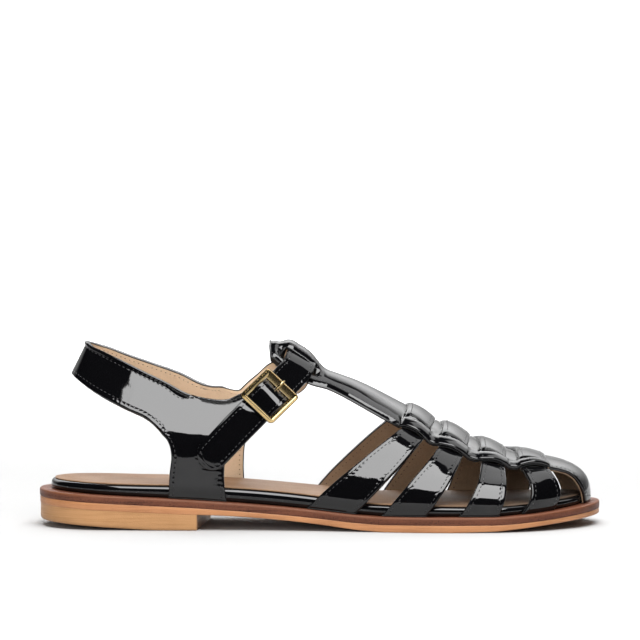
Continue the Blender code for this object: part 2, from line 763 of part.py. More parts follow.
def tube(path, radii, sides=8, closed=False):
    """Points and faces of a round bar placed in the buckle's own directions."""
    path = np.asarray(path, dtype=float)
    count = len(path)
    points = []
    for i in range(count):
        if closed:
            ahead = path[(i + 1) % count] - path[i - 1]
        else:
            ahead = path[min(i + 1, count - 1)] - path[max(i - 1, 0)]
        ahead = ahead / np.linalg.norm(ahead)
        up = np.array((0.0, 0.0, 1.0)) if abs(ahead[2]) < 0.9 else np.array((1.0, 0.0, 0.0))
        side = np.cross(ahead, up)
        side /= np.linalg.norm(side)
        up = np.cross(side, ahead)
        for j in range(sides):
            turn = 2 * np.pi * (j + 0.5) / sides
            at = path[i] + radii[i] * (np.cos(turn) * side + np.sin(turn) * up)
            points.append(buckle_point(*at))
    faces = []
    for i in range(count if closed else count - 1):
        for j in range(sides):
            a = i * sides + j
            b = i * sides + (j + 1) % sides
            c = (i + 1) % count * sides + (j + 1) % sides
            d = (i + 1) % count * sides + j
            faces.append((a, b, c, d))
    if not closed:
        faces.append(tuple(range(sides)))
        faces.append(tuple(range((count - 1) * sides, count * sides)))
    return points, faces


def join(solid, other):
    """Fuse a second solid into the first."""
    cut = solid.modifiers.new("join", "BOOLEAN")
    cut.operation = "UNION"
    cut.solver = "EXACT"
    cut.object = other
    other.hide_render = True
    other.display_type = "WIRE"


BUCKLE_OUT = STRAP_OFFSET + WALL + GAP + BAR_RADIUS
CENTRE_BAR_OUT = STRAP_OFFSET


def buckle_frame():
    """Square frame whose side bars dip to carry a centre bar under the strap."""
    path = []
    corner = 1.6
    for quarter in range(4):
        turn = quarter * np.pi / 2
        centre = (BUCKLE_HALF - corner) * np.array(((1, 1), (-1, 1), (-1, -1), (1, -1)))[quarter]
        for step in np.linspace(0, np.pi / 2, 4):
            bend = turn + step
            path.append((centre[0] + corner * np.cos(bend), centre[1] + corner * np.sin(bend)))
        if quarter in (0, 2):
            way = -1 if quarter == 0 else 1
            path += [(-way * t, way * -BUCKLE_HALF) for t in (4.0, 2.2, 0.0, -2.2, -4.0)]
    places = []
    for t, w in path:
        dip = np.clip(abs(t) / 5.2, 0.0, 1.0) if abs(w) > BUCKLE_HALF - 0.1 else 1.0
        drop = (BUCKLE_OUT - CENTRE_BAR_OUT) * np.cos(dip * np.pi / 2) ** 2
        places.append((t, w, BUCKLE_OUT - drop))
    points, faces = tube(places, [BAR_RADIUS] * len(places), closed=True)
    frame = make("buckle_frame", points, faces, (0.80, 0.62, 0.30), 0.2, 1.0)
    reach = BUCKLE_HALF
    bar_path = [(0, w, CENTRE_BAR_OUT) for w in np.linspace(-reach, reach, 7)]
    points, faces = tube(bar_path, [CENTRE_BAR_RADIUS] * 7)
    join(frame, make("centre_bar_blank", points, faces, (0.80, 0.62, 0.30), 0.2, 1.0))
    return frame


def buckle_prong():
    """Prong hooked round the centre bar, up through the strap's hole and onto the frame."""
    hook = CENTRE_BAR_RADIUS + 0.25 + 0.35
    path = []
    for turn in np.radians(np.linspace(-150, -330, 9)):
        path.append((-hook * np.cos(turn), 0.0, CENTRE_BAR_OUT + hook * np.sin(turn)))
    radii = [0.35] * len(path)
    rest = BUCKLE_OUT + BAR_RADIUS + 0.25 + 0.7
    for t, n, r in zip(*PRONG.values()):
        path.append((-t, 0.0, min(n, rest)))
        radii.append(r)
    points, faces = tube(path, radii)
    return make("buckle_prong", points, faces, (0.80, 0.62, 0.30), 0.2, 1.0)


def strap_hole(strap):
    """Slot in the ankle strap where the prong comes through."""
    points = []
    for out in (1.0, 8.0):
        for t, w in ((-1.4, -1.2), (-5.8, -1.2), (-5.8, 1.2), (-1.4, 1.2)):
            points.append(buckle_point(t, w, out))
    faces = [(0, 1, 2, 3), (4, 5, 6, 7), (0, 1, 5, 4), (1, 2, 6, 5), (2, 3, 7, 6), (3, 0, 4, 7)]
    slot = make("prong_slot_blank", points, faces, (0.1, 0.1, 0.1), 0.5)
    cut = strap.modifiers.new("prong_slot", "BOOLEAN")
    cut.operation = "DIFFERENCE"
    cut.solver = "EXACT"
    cut.object = slot
    slot.hide_render = True
    slot.display_type = "WIRE"


for old in list(bpy.data.objects):
    bpy.data.objects.remove(old, do_unlink=True)

SQUARE_EDGE = ((0.5, 0.0), (0.0, 0.14), (0.0, 0.86), (0.5, 1.0))
ROUND_EDGE = ((1.6, 0.0), (0.5, 0.12), (0.0, 0.4), (0.0, 0.6), (0.5, 0.88), (1.6, 1.0))
SOFT_EDGE = ((0.3, 0.0), (0.0, 0.35), (0.3, 0.75), (1.3, 1.0))

heel_block()
layer("outsole", OUTSOLE_EDGE, sole_under, outsole_top, SQUARE_EDGE, (0.60, 0.31, 0.12), 0.5)
layer("welt", WELT_EDGE, welt_under, welt_top, SQUARE_EDGE, (0.24, 0.07, 0.035), 0.4)
layer("footbed", FOOTBED_EDGE, footbed_under, footbed_top, ROUND_EDGE, (0.012, 0.012, 0.014), 0.15)
layer("insole", INSOLE_EDGE, insole_under, insole_top, SOFT_EDGE, (0.62, 0.43, 0.28), 0.6)
upper()
strap_hole(quarter_strap())
buckle_frame()
buckle_prong()
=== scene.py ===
import bmesh
import bpy
import numpy as np
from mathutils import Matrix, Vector


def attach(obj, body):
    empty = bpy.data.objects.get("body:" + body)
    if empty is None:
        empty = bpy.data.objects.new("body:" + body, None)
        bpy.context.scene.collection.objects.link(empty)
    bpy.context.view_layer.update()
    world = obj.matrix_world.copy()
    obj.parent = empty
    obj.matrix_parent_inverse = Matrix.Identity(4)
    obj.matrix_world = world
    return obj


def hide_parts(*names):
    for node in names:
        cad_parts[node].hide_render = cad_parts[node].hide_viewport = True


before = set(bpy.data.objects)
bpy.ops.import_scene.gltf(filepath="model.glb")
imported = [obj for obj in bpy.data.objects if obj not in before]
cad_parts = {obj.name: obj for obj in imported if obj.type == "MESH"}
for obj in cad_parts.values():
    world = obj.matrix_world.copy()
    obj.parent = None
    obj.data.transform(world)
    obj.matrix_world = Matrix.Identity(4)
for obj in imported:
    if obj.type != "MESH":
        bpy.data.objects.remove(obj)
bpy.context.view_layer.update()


# Heel: a low block of pressed tan leather under the back of the sole. It stands level in
# front and rises a little to the back, and its front face, the breast, is cut straight across.

def table(names, rows):
    """A short table in millimetres whose columns are read by name."""
    return dict(zip(names.split(), np.array(rows, dtype=float).T))


def between(a, b, share):
    """Straight from a at share 0 to b at share 1."""
    return a + (b - a) * share


def cubic(s, a, a_way, b, b_way):
    """Cubic curve from a to b at share s that leaves a and reaches b along the given ways."""
    first = (2 * s**3 - 3 * s**2 + 1) * a + (s**3 - 2 * s**2 + s) * a_way
    return first + (3 * s**2 - 2 * s**3) * b + (s**3 - s**2) * b_way


def smooth(x, xs, ys):
    """Cubic curve through a table's rows, held level past its ends."""
    slope = np.gradient(ys, xs)
    i = np.clip(np.searchsorted(xs, x) - 1, 0, len(xs) - 2)
    h = xs[i + 1] - xs[i]
    s = np.clip((x - xs[i]) / h, 0.0, 1.0)
    return cubic(s, ys[i], h * slope[i], ys[i + 1], h * slope[i + 1])


def ease(s):
    """Soft step from 0 to 1: three times the square less twice the cube."""
    s = np.clip(s, 0.0, 1.0)
    return s * s * (3 - 2 * s)


def rounding(x, start, end, power):
    """Factor that falls from 1 at start to 0 at end along a rounded corner."""
    s = np.clip((x - start) / (end - start), 0.0, 1.0)
    return (1 - s**power) ** (1 / power)


HEEL_END = -127.0
TOE_END = 127.0
PLAN = table("x middle half", (
    (-127, -1.2, 28.5),
    (-100, -1.2, 30.0),
    (-70, -1.7, 30.5),
    (-40, -3.4, 29.3),
    (-10, -4.4, 29.8),
    (20, -2.7, 35.5),
    (50, -1.2, 41.2),
    (75, 0.3, 42.2),
    (95, 1.8, 40.5),
    (110, 2.8, 38.0),
    (127, 3.8, 36.0),
))
RISE = table("x top", (
    (-127, 13.4),
    (-90, 11.6),
    (-55, 9.9),
    (-25, 7.8),
    (0, 5.55),
    (15, 4.0),
    (27, 3.2),
))
HEEL_ROUND = 32.0
HEEL_ROUND_FULL = 2.2
TOE_ROUND = 48.0
TOE_ROUND_FULL = 2.1
TREAD_END = 78.0
TOE_SPRING = 4.0
TOE_SPRING_BEND = 1.35
OUTSOLE_THICK = 3.2
OUTSOLE = table("x thick", (
    (-127, 3.2),
    (-64, 3.2),
    (-48, 2.6),
    (-25, 2.25),
    (0, 2.5),
    (18, 3.0),
    (30, 3.2),
    (58, 3.2),
    (74, 2.8),
    (94, 2.15),
    (127, 2.15),
))


def plan(x, side, heel, toe):
    """Outer and inner edge of a sole layer at x: middle line less and plus the half width,
    drawn in by side and rounded off towards the heel and the toe."""
    middle = smooth(x, PLAN["x"], PLAN["middle"])
    half = smooth(x, PLAN["x"], PLAN["half"]) - side
    half = half * rounding(x, heel + HEEL_ROUND, heel, HEEL_ROUND_FULL)
    half = half * rounding(x, toe - TOE_ROUND, toe, TOE_ROUND_FULL)
    return middle - half, middle + half


def outsole_top(x):
    """Top of the outsole: seat and arch behind the ball, flat tread, then the toe spring."""
    arch = np.maximum(smooth(x, RISE["x"], RISE["top"]), OUTSOLE_THICK)
    toe = np.clip((x - TREAD_END) / (TOE_END - TREAD_END), 0.0, 1.0)
    return np.where(x > RISE["x"][-1], OUTSOLE_THICK + TOE_SPRING * toe**TOE_SPRING_BEND, arch)


def sole_under(x):
    """Underside of the outsole, which is pared down under the waist and at the toe."""
    return outsole_top(x) - np.minimum(smooth(x, OUTSOLE["x"], OUTSOLE["thick"]), OUTSOLE_THICK)


def net(grids):
    """Points and four-sided faces of several grids of points, one after another."""
    points, faces, count = [], [], 0
    for grid in grids:
        n, m = grid.shape[:2]
        index = count + np.arange(n * m).reshape(n, m)
        cells = (index[:-1, :-1], index[1:, :-1], index[1:, 1:], index[:-1, 1:])
        faces.append(np.stack(cells, axis=-1).reshape(-1, 4))
        points.append(grid.reshape(-1, 3))
        count += n * m
    return np.concatenate(points), np.concatenate(faces)


MILLIMETRE = 0.001
DOUBLES = 2e-6


def put(name, points, faces, material, slot, node=None, turn=40, **fields):
    """A finished piece from points in millimetres: doubles merged, faces turned outwards,
    shaded softly up to the angle turn, and fixed to the sandal. Fields are values at its points."""
    used, faces = np.unique(faces, return_inverse=True)
    mesh = bpy.data.meshes.new(name)
    mesh.from_pydata((points[used] * MILLIMETRE).tolist(), [], faces.reshape(-1, 4).tolist())
    for field, values in fields.items():
        mesh.attributes.new(field, "FLOAT", "POINT").data.foreach_set("value", values[used])
    form = bmesh.new()
    form.from_mesh(mesh)
    bmesh.ops.remove_doubles(form, verts=form.verts, dist=DOUBLES)
    bmesh.ops.recalc_face_normals(form, faces=form.faces)
    form.to_mesh(mesh)
    form.free()
    mesh.shade_smooth()
    mesh.set_sharp_from_angle(angle=np.radians(turn))
    mesh.materials.append(material)
    piece = bpy.data.objects.new(name, mesh)
    bpy.context.collection.objects.link(piece)
    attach(piece, "root")
    if node:
        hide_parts(node)


def add(tree, kind, *values, **settings):
    """One shader node: settings are its properties, values fill or feed its inputs in order."""
    node = tree.nodes.new(kind)
    for key, value in settings.items():
        setattr(node, key, value)
    for socket, value in zip(node.inputs, values):
        if isinstance(value, bpy.types.NodeSocket):
            tree.links.new(value, socket)
        elif value is not None:
            socket.default_value = value
    return node


def sums(tree, kind, a, b=0.0, c=0.0):
    """Result of one arithmetic node."""
    return add(tree, "ShaderNodeMath", a, b, c, operation=kind).outputs[0]


def blend(tree, factor, first, second):
    """Colour between two colours."""
    node = tree.nodes.new("ShaderNodeMix")
    node.data_type = "RGBA"
    for socket, value in zip((node.inputs[0], node.inputs[6], node.inputs[7]), (factor, first, second)):
        if isinstance(value, bpy.types.NodeSocket):
            tree.links.new(value, socket)
        else:
            socket.default_value = value
    return node.outputs[2]


def span(tree, value, low, high, out_low=0.0, out_high=1.0):
    """Value moved from one range to another and held inside it."""
    return add(tree, "ShaderNodeMapRange", value, low, high, out_low, out_high).outputs[0]


def finish(name, colour, roughness, metallic=0.0, ior=1.5):
    """New material with one Principled shader. Returns it, its tree and the shader."""
    material = bpy.data.materials.new(name)
    material.use_nodes = True
    tree = material.node_tree
    shader = tree.nodes["Principled BSDF"]
    shader.inputs["Base Color"].default_value = colour
    shader.inputs["Roughness"].default_value = roughness
    shader.inputs["Metallic"].default_value = metallic
    shader.inputs["IOR"].default_value = ior
    return material, tree, shader


def relief(tree, shader, height, distance):
    """Bump on the shader's normal, as deep as the distance in metres at height 1."""
    bump = tree.nodes.new("ShaderNodeBump")
    bump.inputs["Strength"].default_value = 1.0
    bump.inputs["Distance"].default_value = distance
    tree.links.new(height, bump.inputs["Height"])
    tree.links.new(bump.outputs["Normal"], shader.inputs["Normal"])


def add_socket(group, name, kind, way="INPUT"):
    """Named socket on a node group."""
    return group.interface.new_socket(name, in_out=way, socket_type=kind)


def fibre_group():
    """Cut leather edge: streaks drawn out along the sole, and fine pores between them."""
    group = bpy.data.node_groups.new("leather fibre", "ShaderNodeTree")
    add_socket(group, "Place", "NodeSocketVector")
    add_socket(group, "Streak", "NodeSocketFloat", "OUTPUT")
    add_socket(group, "Pore", "NodeSocketFloat", "OUTPUT")
    start = group.nodes.new("NodeGroupInput")
    end = group.nodes.new("NodeGroupOutput")
    drawn = add(group, "ShaderNodeMapping", start.outputs[0], None, None, (45, 45, 1500))
    streak = add(group, "ShaderNodeTexNoise", drawn.outputs[0], None, 1.0, 3.0, 0.6)
    fine = add(group, "ShaderNodeTexNoise", start.outputs[0], None, 1900.0, 2.0, 0.6)
    group.links.new(streak.outputs[0], end.inputs[0])
    group.links.new(fine.outputs[0], end.inputs[1])
    return group


FIBRE = fibre_group()


def cut_leather(name, pale, dark, roughness, pores):
    """Bare cut edge of leather: pale and dark streaks, pores and a light brushed relief."""
    material, tree, shader = finish(name, pale, roughness)
    place = tree.nodes.new("ShaderNodeTexCoord").outputs["Object"]
    fibre = add(tree, "ShaderNodeGroup", node_tree=FIBRE)
    tree.links.new(place, fibre.inputs[0])
    cloud = add(tree, "ShaderNodeTexNoise", place, None, 55.0, 3.0, 0.55).outputs[0]
    mark = sums(tree, "ADD", span(tree, fibre.outputs[0], 0.38, 0.72, 0.0, 0.55),
                span(tree, fibre.outputs[1], 0.5, 0.75, 0.0, pores))
    mark = sums(tree, "ADD", mark, span(tree, cloud, 0.35, 0.7, -0.18, 0.25))
    tree.links.new(blend(tree, mark, pale, dark), shader.inputs["Base Color"])
    rough = span(tree, mark, 0.0, 1.0, roughness - 0.08, roughness + 0.14)
    tree.links.new(rough, shader.inputs["Roughness"])
    height = sums(tree, "ADD", sums(tree, "MULTIPLY", fibre.outputs[0], 0.6), fibre.outputs[1])
    relief(tree, shader, height, 0.00012)
    return material


HEEL_TAN = (0.40, 0.21, 0.088, 1)
HEEL_STREAK = (0.27, 0.13, 0.045, 1)
HEEL_INSET = 0.4
HEEL_STATIONS = 70
HEEL_COLUMNS = 9
SEAT_OVERLAP = 0.12
BREAST_OUTER = -55.2
BREAST_INNER = -50.2
HEEL_RISE_SLOPE = 0.058
HEEL_RISE_START = -68.0
HEEL_RISE_BEND = 12.0
HEEL_PROFILE = table("inset lift level", (
    (1.3, 0.0, 0.0),
    (0.7, 0.06, 0.0),
    (0.3, 0.35, 0.0),
    (0.08, 0.9, 0.0),
    (0.0, 1.6, 0.0),
    (0.0, 0.0, 0.5),
    (0.0, 0.0, 1.0),
))


def heel_floor(x):
    """Underside of the heel: level in front, then bending up to a slight slope at the back."""
    behind = np.maximum(HEEL_RISE_START - x, 0.0)
    bend = np.minimum(behind, HEEL_RISE_BEND)
    return HEEL_RISE_SLOPE * (bend**2 / (2 * HEEL_RISE_BEND) + behind - bend)


def heel_grids():
    """Side walls, floor, top and breast of the heel: its profile is carried from the back
    to the breast on both sides, and straight columns join the two sides."""
    inset, lift, level = HEEL_PROFILE["inset"], HEEL_PROFILE["lift"], HEEL_PROFILE["level"]
    share = 1 - np.cos(np.pi / 2 * np.linspace(0, 1, HEEL_STATIONS)[:, None])
    back = HEEL_END + HEEL_INSET + inset
    walls = []
    for i, breast in enumerate((BREAST_OUTER, BREAST_INNER)):
        x = between(back, breast, share)
        y = plan(x, HEEL_INSET + inset, back, TOE_END - HEEL_INSET)[i]
        z = between(lift + heel_floor(x), sole_under(x) + SEAT_OVERLAP, level)
        walls.append(np.stack((x, y, z), axis=-1))
    across = np.linspace(0, 1, HEEL_COLUMNS)[:, None, None]
    outer, inner = walls
    floor = between(outer[:, 0], inner[:, 0], across)
    top = between(outer[:, -1], inner[:, -1], across)
    breast = between(outer[-1], inner[-1], across)
    return walls + [floor, top, breast]


heel_leather = cut_leather("heel_leather", HEEL_TAN, HEEL_STREAK, roughness=0.5, pores=0.12)
put("heel", *net(heel_grids()), heel_leather, "heel_leather", "heel_block")


# Outsole: one thin sheet of firm tan leather from heel to toe, cut flush with the heel.
# Its edge is trimmed, stained a warmer tan and brushed.

SOLE_TAN = (0.42, 0.19, 0.08, 1)
SOLE_STREAK = (0.24, 0.095, 0.036, 1)
SOLE_INSET = 0.2
OUTSOLE_EDGE = {"side": SOLE_INSET, "heel": HEEL_END + SOLE_INSET, "toe": TOE_END - SOLE_INSET}
STATIONS = 150
COLUMNS = 23
DISH_WIDTH = 40.0
LAYER_GAP = 0.3


def slab(edge, profile, under, over, dish=0.0):
    """Sole layer: a profile of inset and level is carried round the plan on both sides, and
    the top and the floor are closed by columns from side to side, the top dished a little."""
    inset, level = np.array(profile, dtype=float).T
    share = (1 - np.cos(np.pi * np.linspace(0, 1, STATIONS)[:, None])) / 2
    heel, toe = edge["heel"] + inset, edge["toe"] - inset
    x = between(heel, toe, share)
    z = between(under(x), over(x), level)
    walls = [np.stack((x, y, z), axis=-1) for y in plan(x, edge["side"] + inset, heel, toe)]
    t = np.linspace(0, 1, COLUMNS)[:, None, None]
    caps = []
    for j, depth in ((0, 0.0), (-1, dish)):
        cap = between(walls[0][:, j], walls[1][:, j], t)
        width = np.abs(walls[1][:, j, 1] - walls[0][:, j, 1])
        cap[..., 2] -= depth * (4 * t * (1 - t))[..., 0] * ease(width / DISH_WIDTH)
        caps.append(cap)
    return net(walls + caps)


TRIMMED = (
    (0.55, 0.0), (0.22, 0.03), (0.04, 0.12), (0.0, 0.25), (0.0, 0.5), (0.0, 0.97), (0.05, 1.0),
)
outsole_leather = cut_leather("outsole_leather", SOLE_TAN, SOLE_STREAK, roughness=0.48, pores=0.2)
put("sole", *slab(OUTSOLE_EDGE, TRIMMED, sole_under, lambda x: outsole_top(x) + SEAT_OVERLAP),
    outsole_leather, "sole_leather", "outsole")


# Welt: a strip of red-brown leather between outsole and footbed that stands out past the straps all
# round. Its upper corner is paler than its brushed edge.

WELT_BROWN = (0.125, 0.041, 0.021, 1)
WELT_PORE = (0.035, 0.0105, 0.0055, 1)
WELT_PALE_CORNER = (0.135, 0.049, 0.024, 1)
WELT_THICK = 3.3
WELT_EDGE = {"side": 0.0, "heel": HEEL_END, "toe": TOE_END}


def welt_under(x):
    """Underside of the welt: a thin gap above the outsole."""
    return outsole_top(x) + LAYER_GAP


def welt_top(x):
    """Top of the welt: its even thickness above its underside."""
    return welt_under(x) + WELT_THICK


def welt_material():
    """Cut leather with a granular brushed edge, and a paler corner where it turns."""
    material = cut_leather("welt_leather", WELT_BROWN, WELT_PORE, roughness=0.5, pores=0.95)
    tree = material.node_tree
    shader = tree.nodes["Principled BSDF"]
    brown = shader.inputs["Base Color"].links[0].from_socket
    corner = add(tree, "ShaderNodeAttribute", attribute_name="corner").outputs["Fac"]
    tree.links.new(blend(tree, corner, brown, WELT_PALE_CORNER), shader.inputs["Base Color"])
    shader.inputs["Specular IOR Level"].default_value = 0.28
    return material


WELT_PROFILE = (
    (0.3, -0.04), (0.12, 0.02), (0.02, 0.1), (0.0, 0.3), (0.0, 0.55), (0.02, 0.72), (0.1, 0.85),
    (0.28, 0.94), (0.6, 0.985), (1.1, 1.0), (2.4, 1.0), (5.0, 1.0), (8.0, 1.0),
)
# How much paler the welt is at each row of its profile, most at its upper corner.
CORNER_PALENESS = np.array((0, 0, 0, 0, 0.12, 0.55, 0.9, 1.0, 0.85, 0.5, 0.2, 0.1, 0.0))
welt_points, welt_faces = slab(WELT_EDGE, WELT_PROFILE, welt_under, welt_top)
corner_field = np.zeros(len(welt_points))
corner_field[: 2 * STATIONS * len(CORNER_PALENESS)] = np.tile(CORNER_PALENESS, 2 * STATIONS)
put("welt_strip", welt_points, welt_faces, welt_material(), "welt_leather", "welt",
    corner=corner_field)


# Footbed: a firm board wrapped in black patent leather, with a round edge that shows
# between the straps. The patent is a mirror-bright lacquer, very slightly wavy.

PATENT_BLACK = (0.002, 0.002, 0.0024, 1)
FOOTBED = table("x thick", (
    (-122, 4.2),
    (-90, 4.6),
    (-45, 5.7),
    (-10, 5.7),
    (25, 4.7),
    (55, 4.1),
    (121, 3.5),
))
FOOTBED_EDGE = {"side": 4.2, "heel": HEEL_END + 5.2, "toe": TOE_END - 6.3}


def footbed_under(x):
    """Underside of the footbed: a thin gap above the welt."""
    return welt_top(x) + LAYER_GAP


def footbed_top(x):
    """Top of the footbed: its thickness from the table above its underside."""
    return footbed_under(x) + smooth(x, FOOTBED["x"], FOOTBED["thick"])


def seam_group():
    """Line of stitches at an inset from an edge: a pulled-in ripple along it, and the round
    needle holes, both from the distance along the edge and the distance in from it."""
    group = bpy.data.node_groups.new("seam line", "ShaderNodeTree")
    for name in ("Along", "Edge", "Inset", "Pitch"):
        add_socket(group, name, "NodeSocketFloat")
    add_socket(group, "Pucker", "NodeSocketFloat", "OUTPUT")
    add_socket(group, "Hole", "NodeSocketFloat", "OUTPUT")
    start = group.nodes.new("NodeGroupInput").outputs
    end = group.nodes.new("NodeGroupOutput").inputs
    off = sums(group, "SUBTRACT", start["Edge"], start["Inset"])
    near = sums(group, "MULTIPLY", sums(group, "MULTIPLY", off, off), -4.0)
    near = sums(group, "EXPONENT", near)
    turns = sums(group, "DIVIDE", start["Along"], start["Pitch"])
    wave = sums(group, "COSINE", sums(group, "MULTIPLY", turns, 2 * np.pi))
    ripple = sums(group, "MULTIPLY_ADD", wave, 0.6, -0.55)
    group.links.new(sums(group, "MULTIPLY", near, ripple), end["Pucker"])
    step = sums(group, "SUBTRACT", sums(group, "FRACT", turns), 0.5)
    step = sums(group, "MULTIPLY", step, start["Pitch"])
    reach = sums(group, "MULTIPLY_ADD", step, step, sums(group, "MULTIPLY", off, off))
    group.links.new(span(group, sums(group, "SQRT", reach), 0.14, 0.3, 1.0, 0.0), end["Hole"])
    return group


SEAM = seam_group()
STITCH_PITCH = 2.2


def seam(tree, inset):
    """Seam line on a piece that knows its distances along and in from its edge."""
    line = add(tree, "ShaderNodeGroup", node_tree=SEAM)
    for name, field in (("Along", "along"), ("Edge", "edge")):
        source = add(tree, "ShaderNodeAttribute", attribute_name=field)
        tree.links.new(source.outputs["Fac"], line.inputs[name])
    line.inputs["Inset"].default_value = inset
    line.inputs["Pitch"].default_value = STITCH_PITCH
    return line


def patent_leather(name, inset=None):
    """Black lacquered leather: mirror gloss, a slow waviness, faint dust of fine pits, and
    where it is sewn the pucker of the stitches."""
    material, tree, shader = finish(name, PATENT_BLACK, 0.035, ior=1.52)
    place = tree.nodes.new("ShaderNodeTexCoord").outputs["Object"]
    wave = add(tree, "ShaderNodeTexNoise", place, None, 85.0, 1.0, 0.4).outputs[0]
    pits = add(tree, "ShaderNodeTexNoise", place, None, 900.0, 2.0, 0.5).outputs[0]
    cloud = add(tree, "ShaderNodeTexNoise", place, None, 160.0, 3.0, 0.6).outputs[0]
    tree.links.new(span(tree, cloud, 0.35, 0.75, 0.02, 0.06), shader.inputs["Roughness"])
    height = sums(tree, "MULTIPLY_ADD", wave, 0.2, sums(tree, "MULTIPLY", pits, 0.004))
    if inset:
        line = seam(tree, inset)
        height = sums(tree, "MULTIPLY_ADD", line.outputs["Pucker"], 0.035, height)
    relief(tree, shader, height, 0.001)
    return material


BULLNOSE = (
    (1.5, -0.06), (0.8, 0.02), (0.3, 0.13), (0.08, 0.25), (0.0, 0.4), (0.02, 0.52), (0.12, 0.66),
    (0.34, 0.79), (0.75, 0.9), (1.3, 0.97), (2.0, 1.0), (3.0, 1.0),
)
wrapped_patent = patent_leather("wrapped_patent")
put("wrapped_footbed", *slab(FOOTBED_EDGE, BULLNOSE, footbed_under, footbed_top),
    wrapped_patent, "patent_leather", "footbed")


# Sock: the bare tan leather that the foot stands on, glued over the wrapped footbed and
# cut a little smaller, so that a thin pale edge shows all round.

SOCK_PALE = (0.21, 0.12, 0.062, 1)
SOCK_DARK = (0.158, 0.083, 0.04, 1)
# Painted shade: towards the toe the sock darkens to this colour, in place of the shade under the straps
# and strip.
SOCK_TOE_PAINTED_SHADE = (0.062, 0.039, 0.024, 1)
NEEDLE_HOLE = (0.05, 0.03, 0.02, 1)
EDGE_PAINT = (0.006, 0.006, 0.006, 1)
SOCK_THICK = 0.6
GLUE_LINE = 0.02
INSOLE_EDGE = {"side": 6.0, "heel": HEEL_END + 7.0, "toe": TOE_END - 8.1}


def insole_under(x):
    """Underside of the sock: a line of glue above the footbed."""
    return footbed_top(x) + GLUE_LINE


def insole_top(x):
    """Top of the sock: its thickness above the footbed."""
    return footbed_top(x) + SOCK_THICK


def sock_material(name, pale, dark, inset=None, paint=False, painted_toe_shade=None):
    """Bare lining leather: soft clouds, short fibres and fine grain, matt. Where it is sewn it has
    needle holes, where a toe colour is given it darkens towards the toe with painted shade, and where
    its edge is painted it turns black."""
    material, tree, shader = finish(name, pale, 0.62)
    place = tree.nodes.new("ShaderNodeTexCoord").outputs["Object"]
    cloud = add(tree, "ShaderNodeTexNoise", place, None, 45.0, 4.0, 0.6).outputs[0]
    grain = add(tree, "ShaderNodeTexNoise", place, None, 1300.0, 3.0, 0.65).outputs[0]
    mark = sums(tree, "ADD", span(tree, cloud, 0.3, 0.72, 0.0, 0.55),
                span(tree, grain, 0.42, 0.75, 0.0, 0.4))
    colour = blend(tree, mark, pale, dark)
    height = grain
    if inset:
        hole = seam(tree, inset).outputs["Hole"]
        colour = blend(tree, hole, colour, NEEDLE_HOLE)
        height = sums(tree, "MULTIPLY_ADD", hole, -3.0, grain)
    if painted_toe_shade:
        ahead = add(tree, "ShaderNodeSeparateXYZ", place).outputs[0]
        colour = blend(tree, span(tree, ahead, 0.03, 0.09), colour, painted_toe_shade)
    if paint:
        rim = add(tree, "ShaderNodeAttribute", attribute_name="edge").outputs["Fac"]
        colour = blend(tree, span(tree, rim, 0.3, 0.5), EDGE_PAINT, colour)
    tree.links.new(colour, shader.inputs["Base Color"])
    tree.links.new(span(tree, mark, 0.0, 1.0, 0.52, 0.72), shader.inputs["Roughness"])
    relief(tree, shader, height, 0.00011)
    return material


SOFT_EDGE = (
    (0.2, 0.0), (0.0, 0.25), (0.0, 0.6), (0.12, 0.82), (0.45, 0.96), (1.1, 1.0), (3.0, 1.0),
)
# The sock carries painted shade that darkens it towards the toe.
sock_leather = sock_material("sock_leather", SOCK_PALE, SOCK_DARK, painted_toe_shade=SOCK_TOE_PAINTED_SHADE)
put("sock", *slab(INSOLE_EDGE, SOFT_EDGE, insole_under, insole_top, dish=0.9),
    sock_leather, "sock_leather", "insole")


# Centre strip: the T-bar, the strip that the straps are woven through and the toe cap are
# cut from one piece of patent leather, lined with tan leather and shaped on the last.

WALL = 1.9
LINING = 0.6
LAST_EDGE = {"side": 3.7, "heel": HEEL_END + 4.7, "toe": TOE_END - 5.8}
FORM = table("x top ridge outer inner", (
    (-95, 122, -0.6, 1.8, 2.0),
    (-70, 114, 0.4, 1.75, 2.0),
    (-45, 99, 2.4, 1.75, 2.0),
    (-30, 88.5, 3.9, 1.75, 2.05),
    (-20, 79.6, 4.9, 1.82, 2.1),
    (-10, 72.8, 5.6, 1.75, 2.1),
    (2, 68.1, 6.4, 1.7, 2.1),
    (16, 63.0, 7.2, 1.78, 2.1),
    (38, 52.0, 7.8, 1.88, 2.1),
    (53, 44.3, 8.0, 1.9, 2.1),
    (69, 36.9, 8.0, 1.92, 2.2),
    (86, 31.0, 7.4, 2.05, 2.4),
    (103, 28.4, 5.8, 2.6, 2.7),
    (121, 25.6, 4.0, 2.6, 2.7),
))
RIDGE_SOFT = 0.16
TOE_BOX_START = 98.0
TOE_BOX_FULL = 3.5
STRAPS = table("ridge_a ridge_b edge_a edge_b foot_a foot_b bow_a bow_b edge_shift foot_shift", (
    (38.7, 51.5, 36.5, 46.0, -5.7, 15.8, -3.0, 0.0, -2.5, 1.0),
    (54.7, 67.5, 53.1, 63.7, 27.7, 47.3, 0.0, 1.0, -4.0, -1.5),
    (71.3, 84.0, 72.3, 82.7, 62.0, 79.8, 2.0, 1.5, -8.5, -5.5),
    (88.5, 101.9, 90.3, 102.2, 89.9, 104.7, 4.0, 3.5, -11.5, -10.0),
))
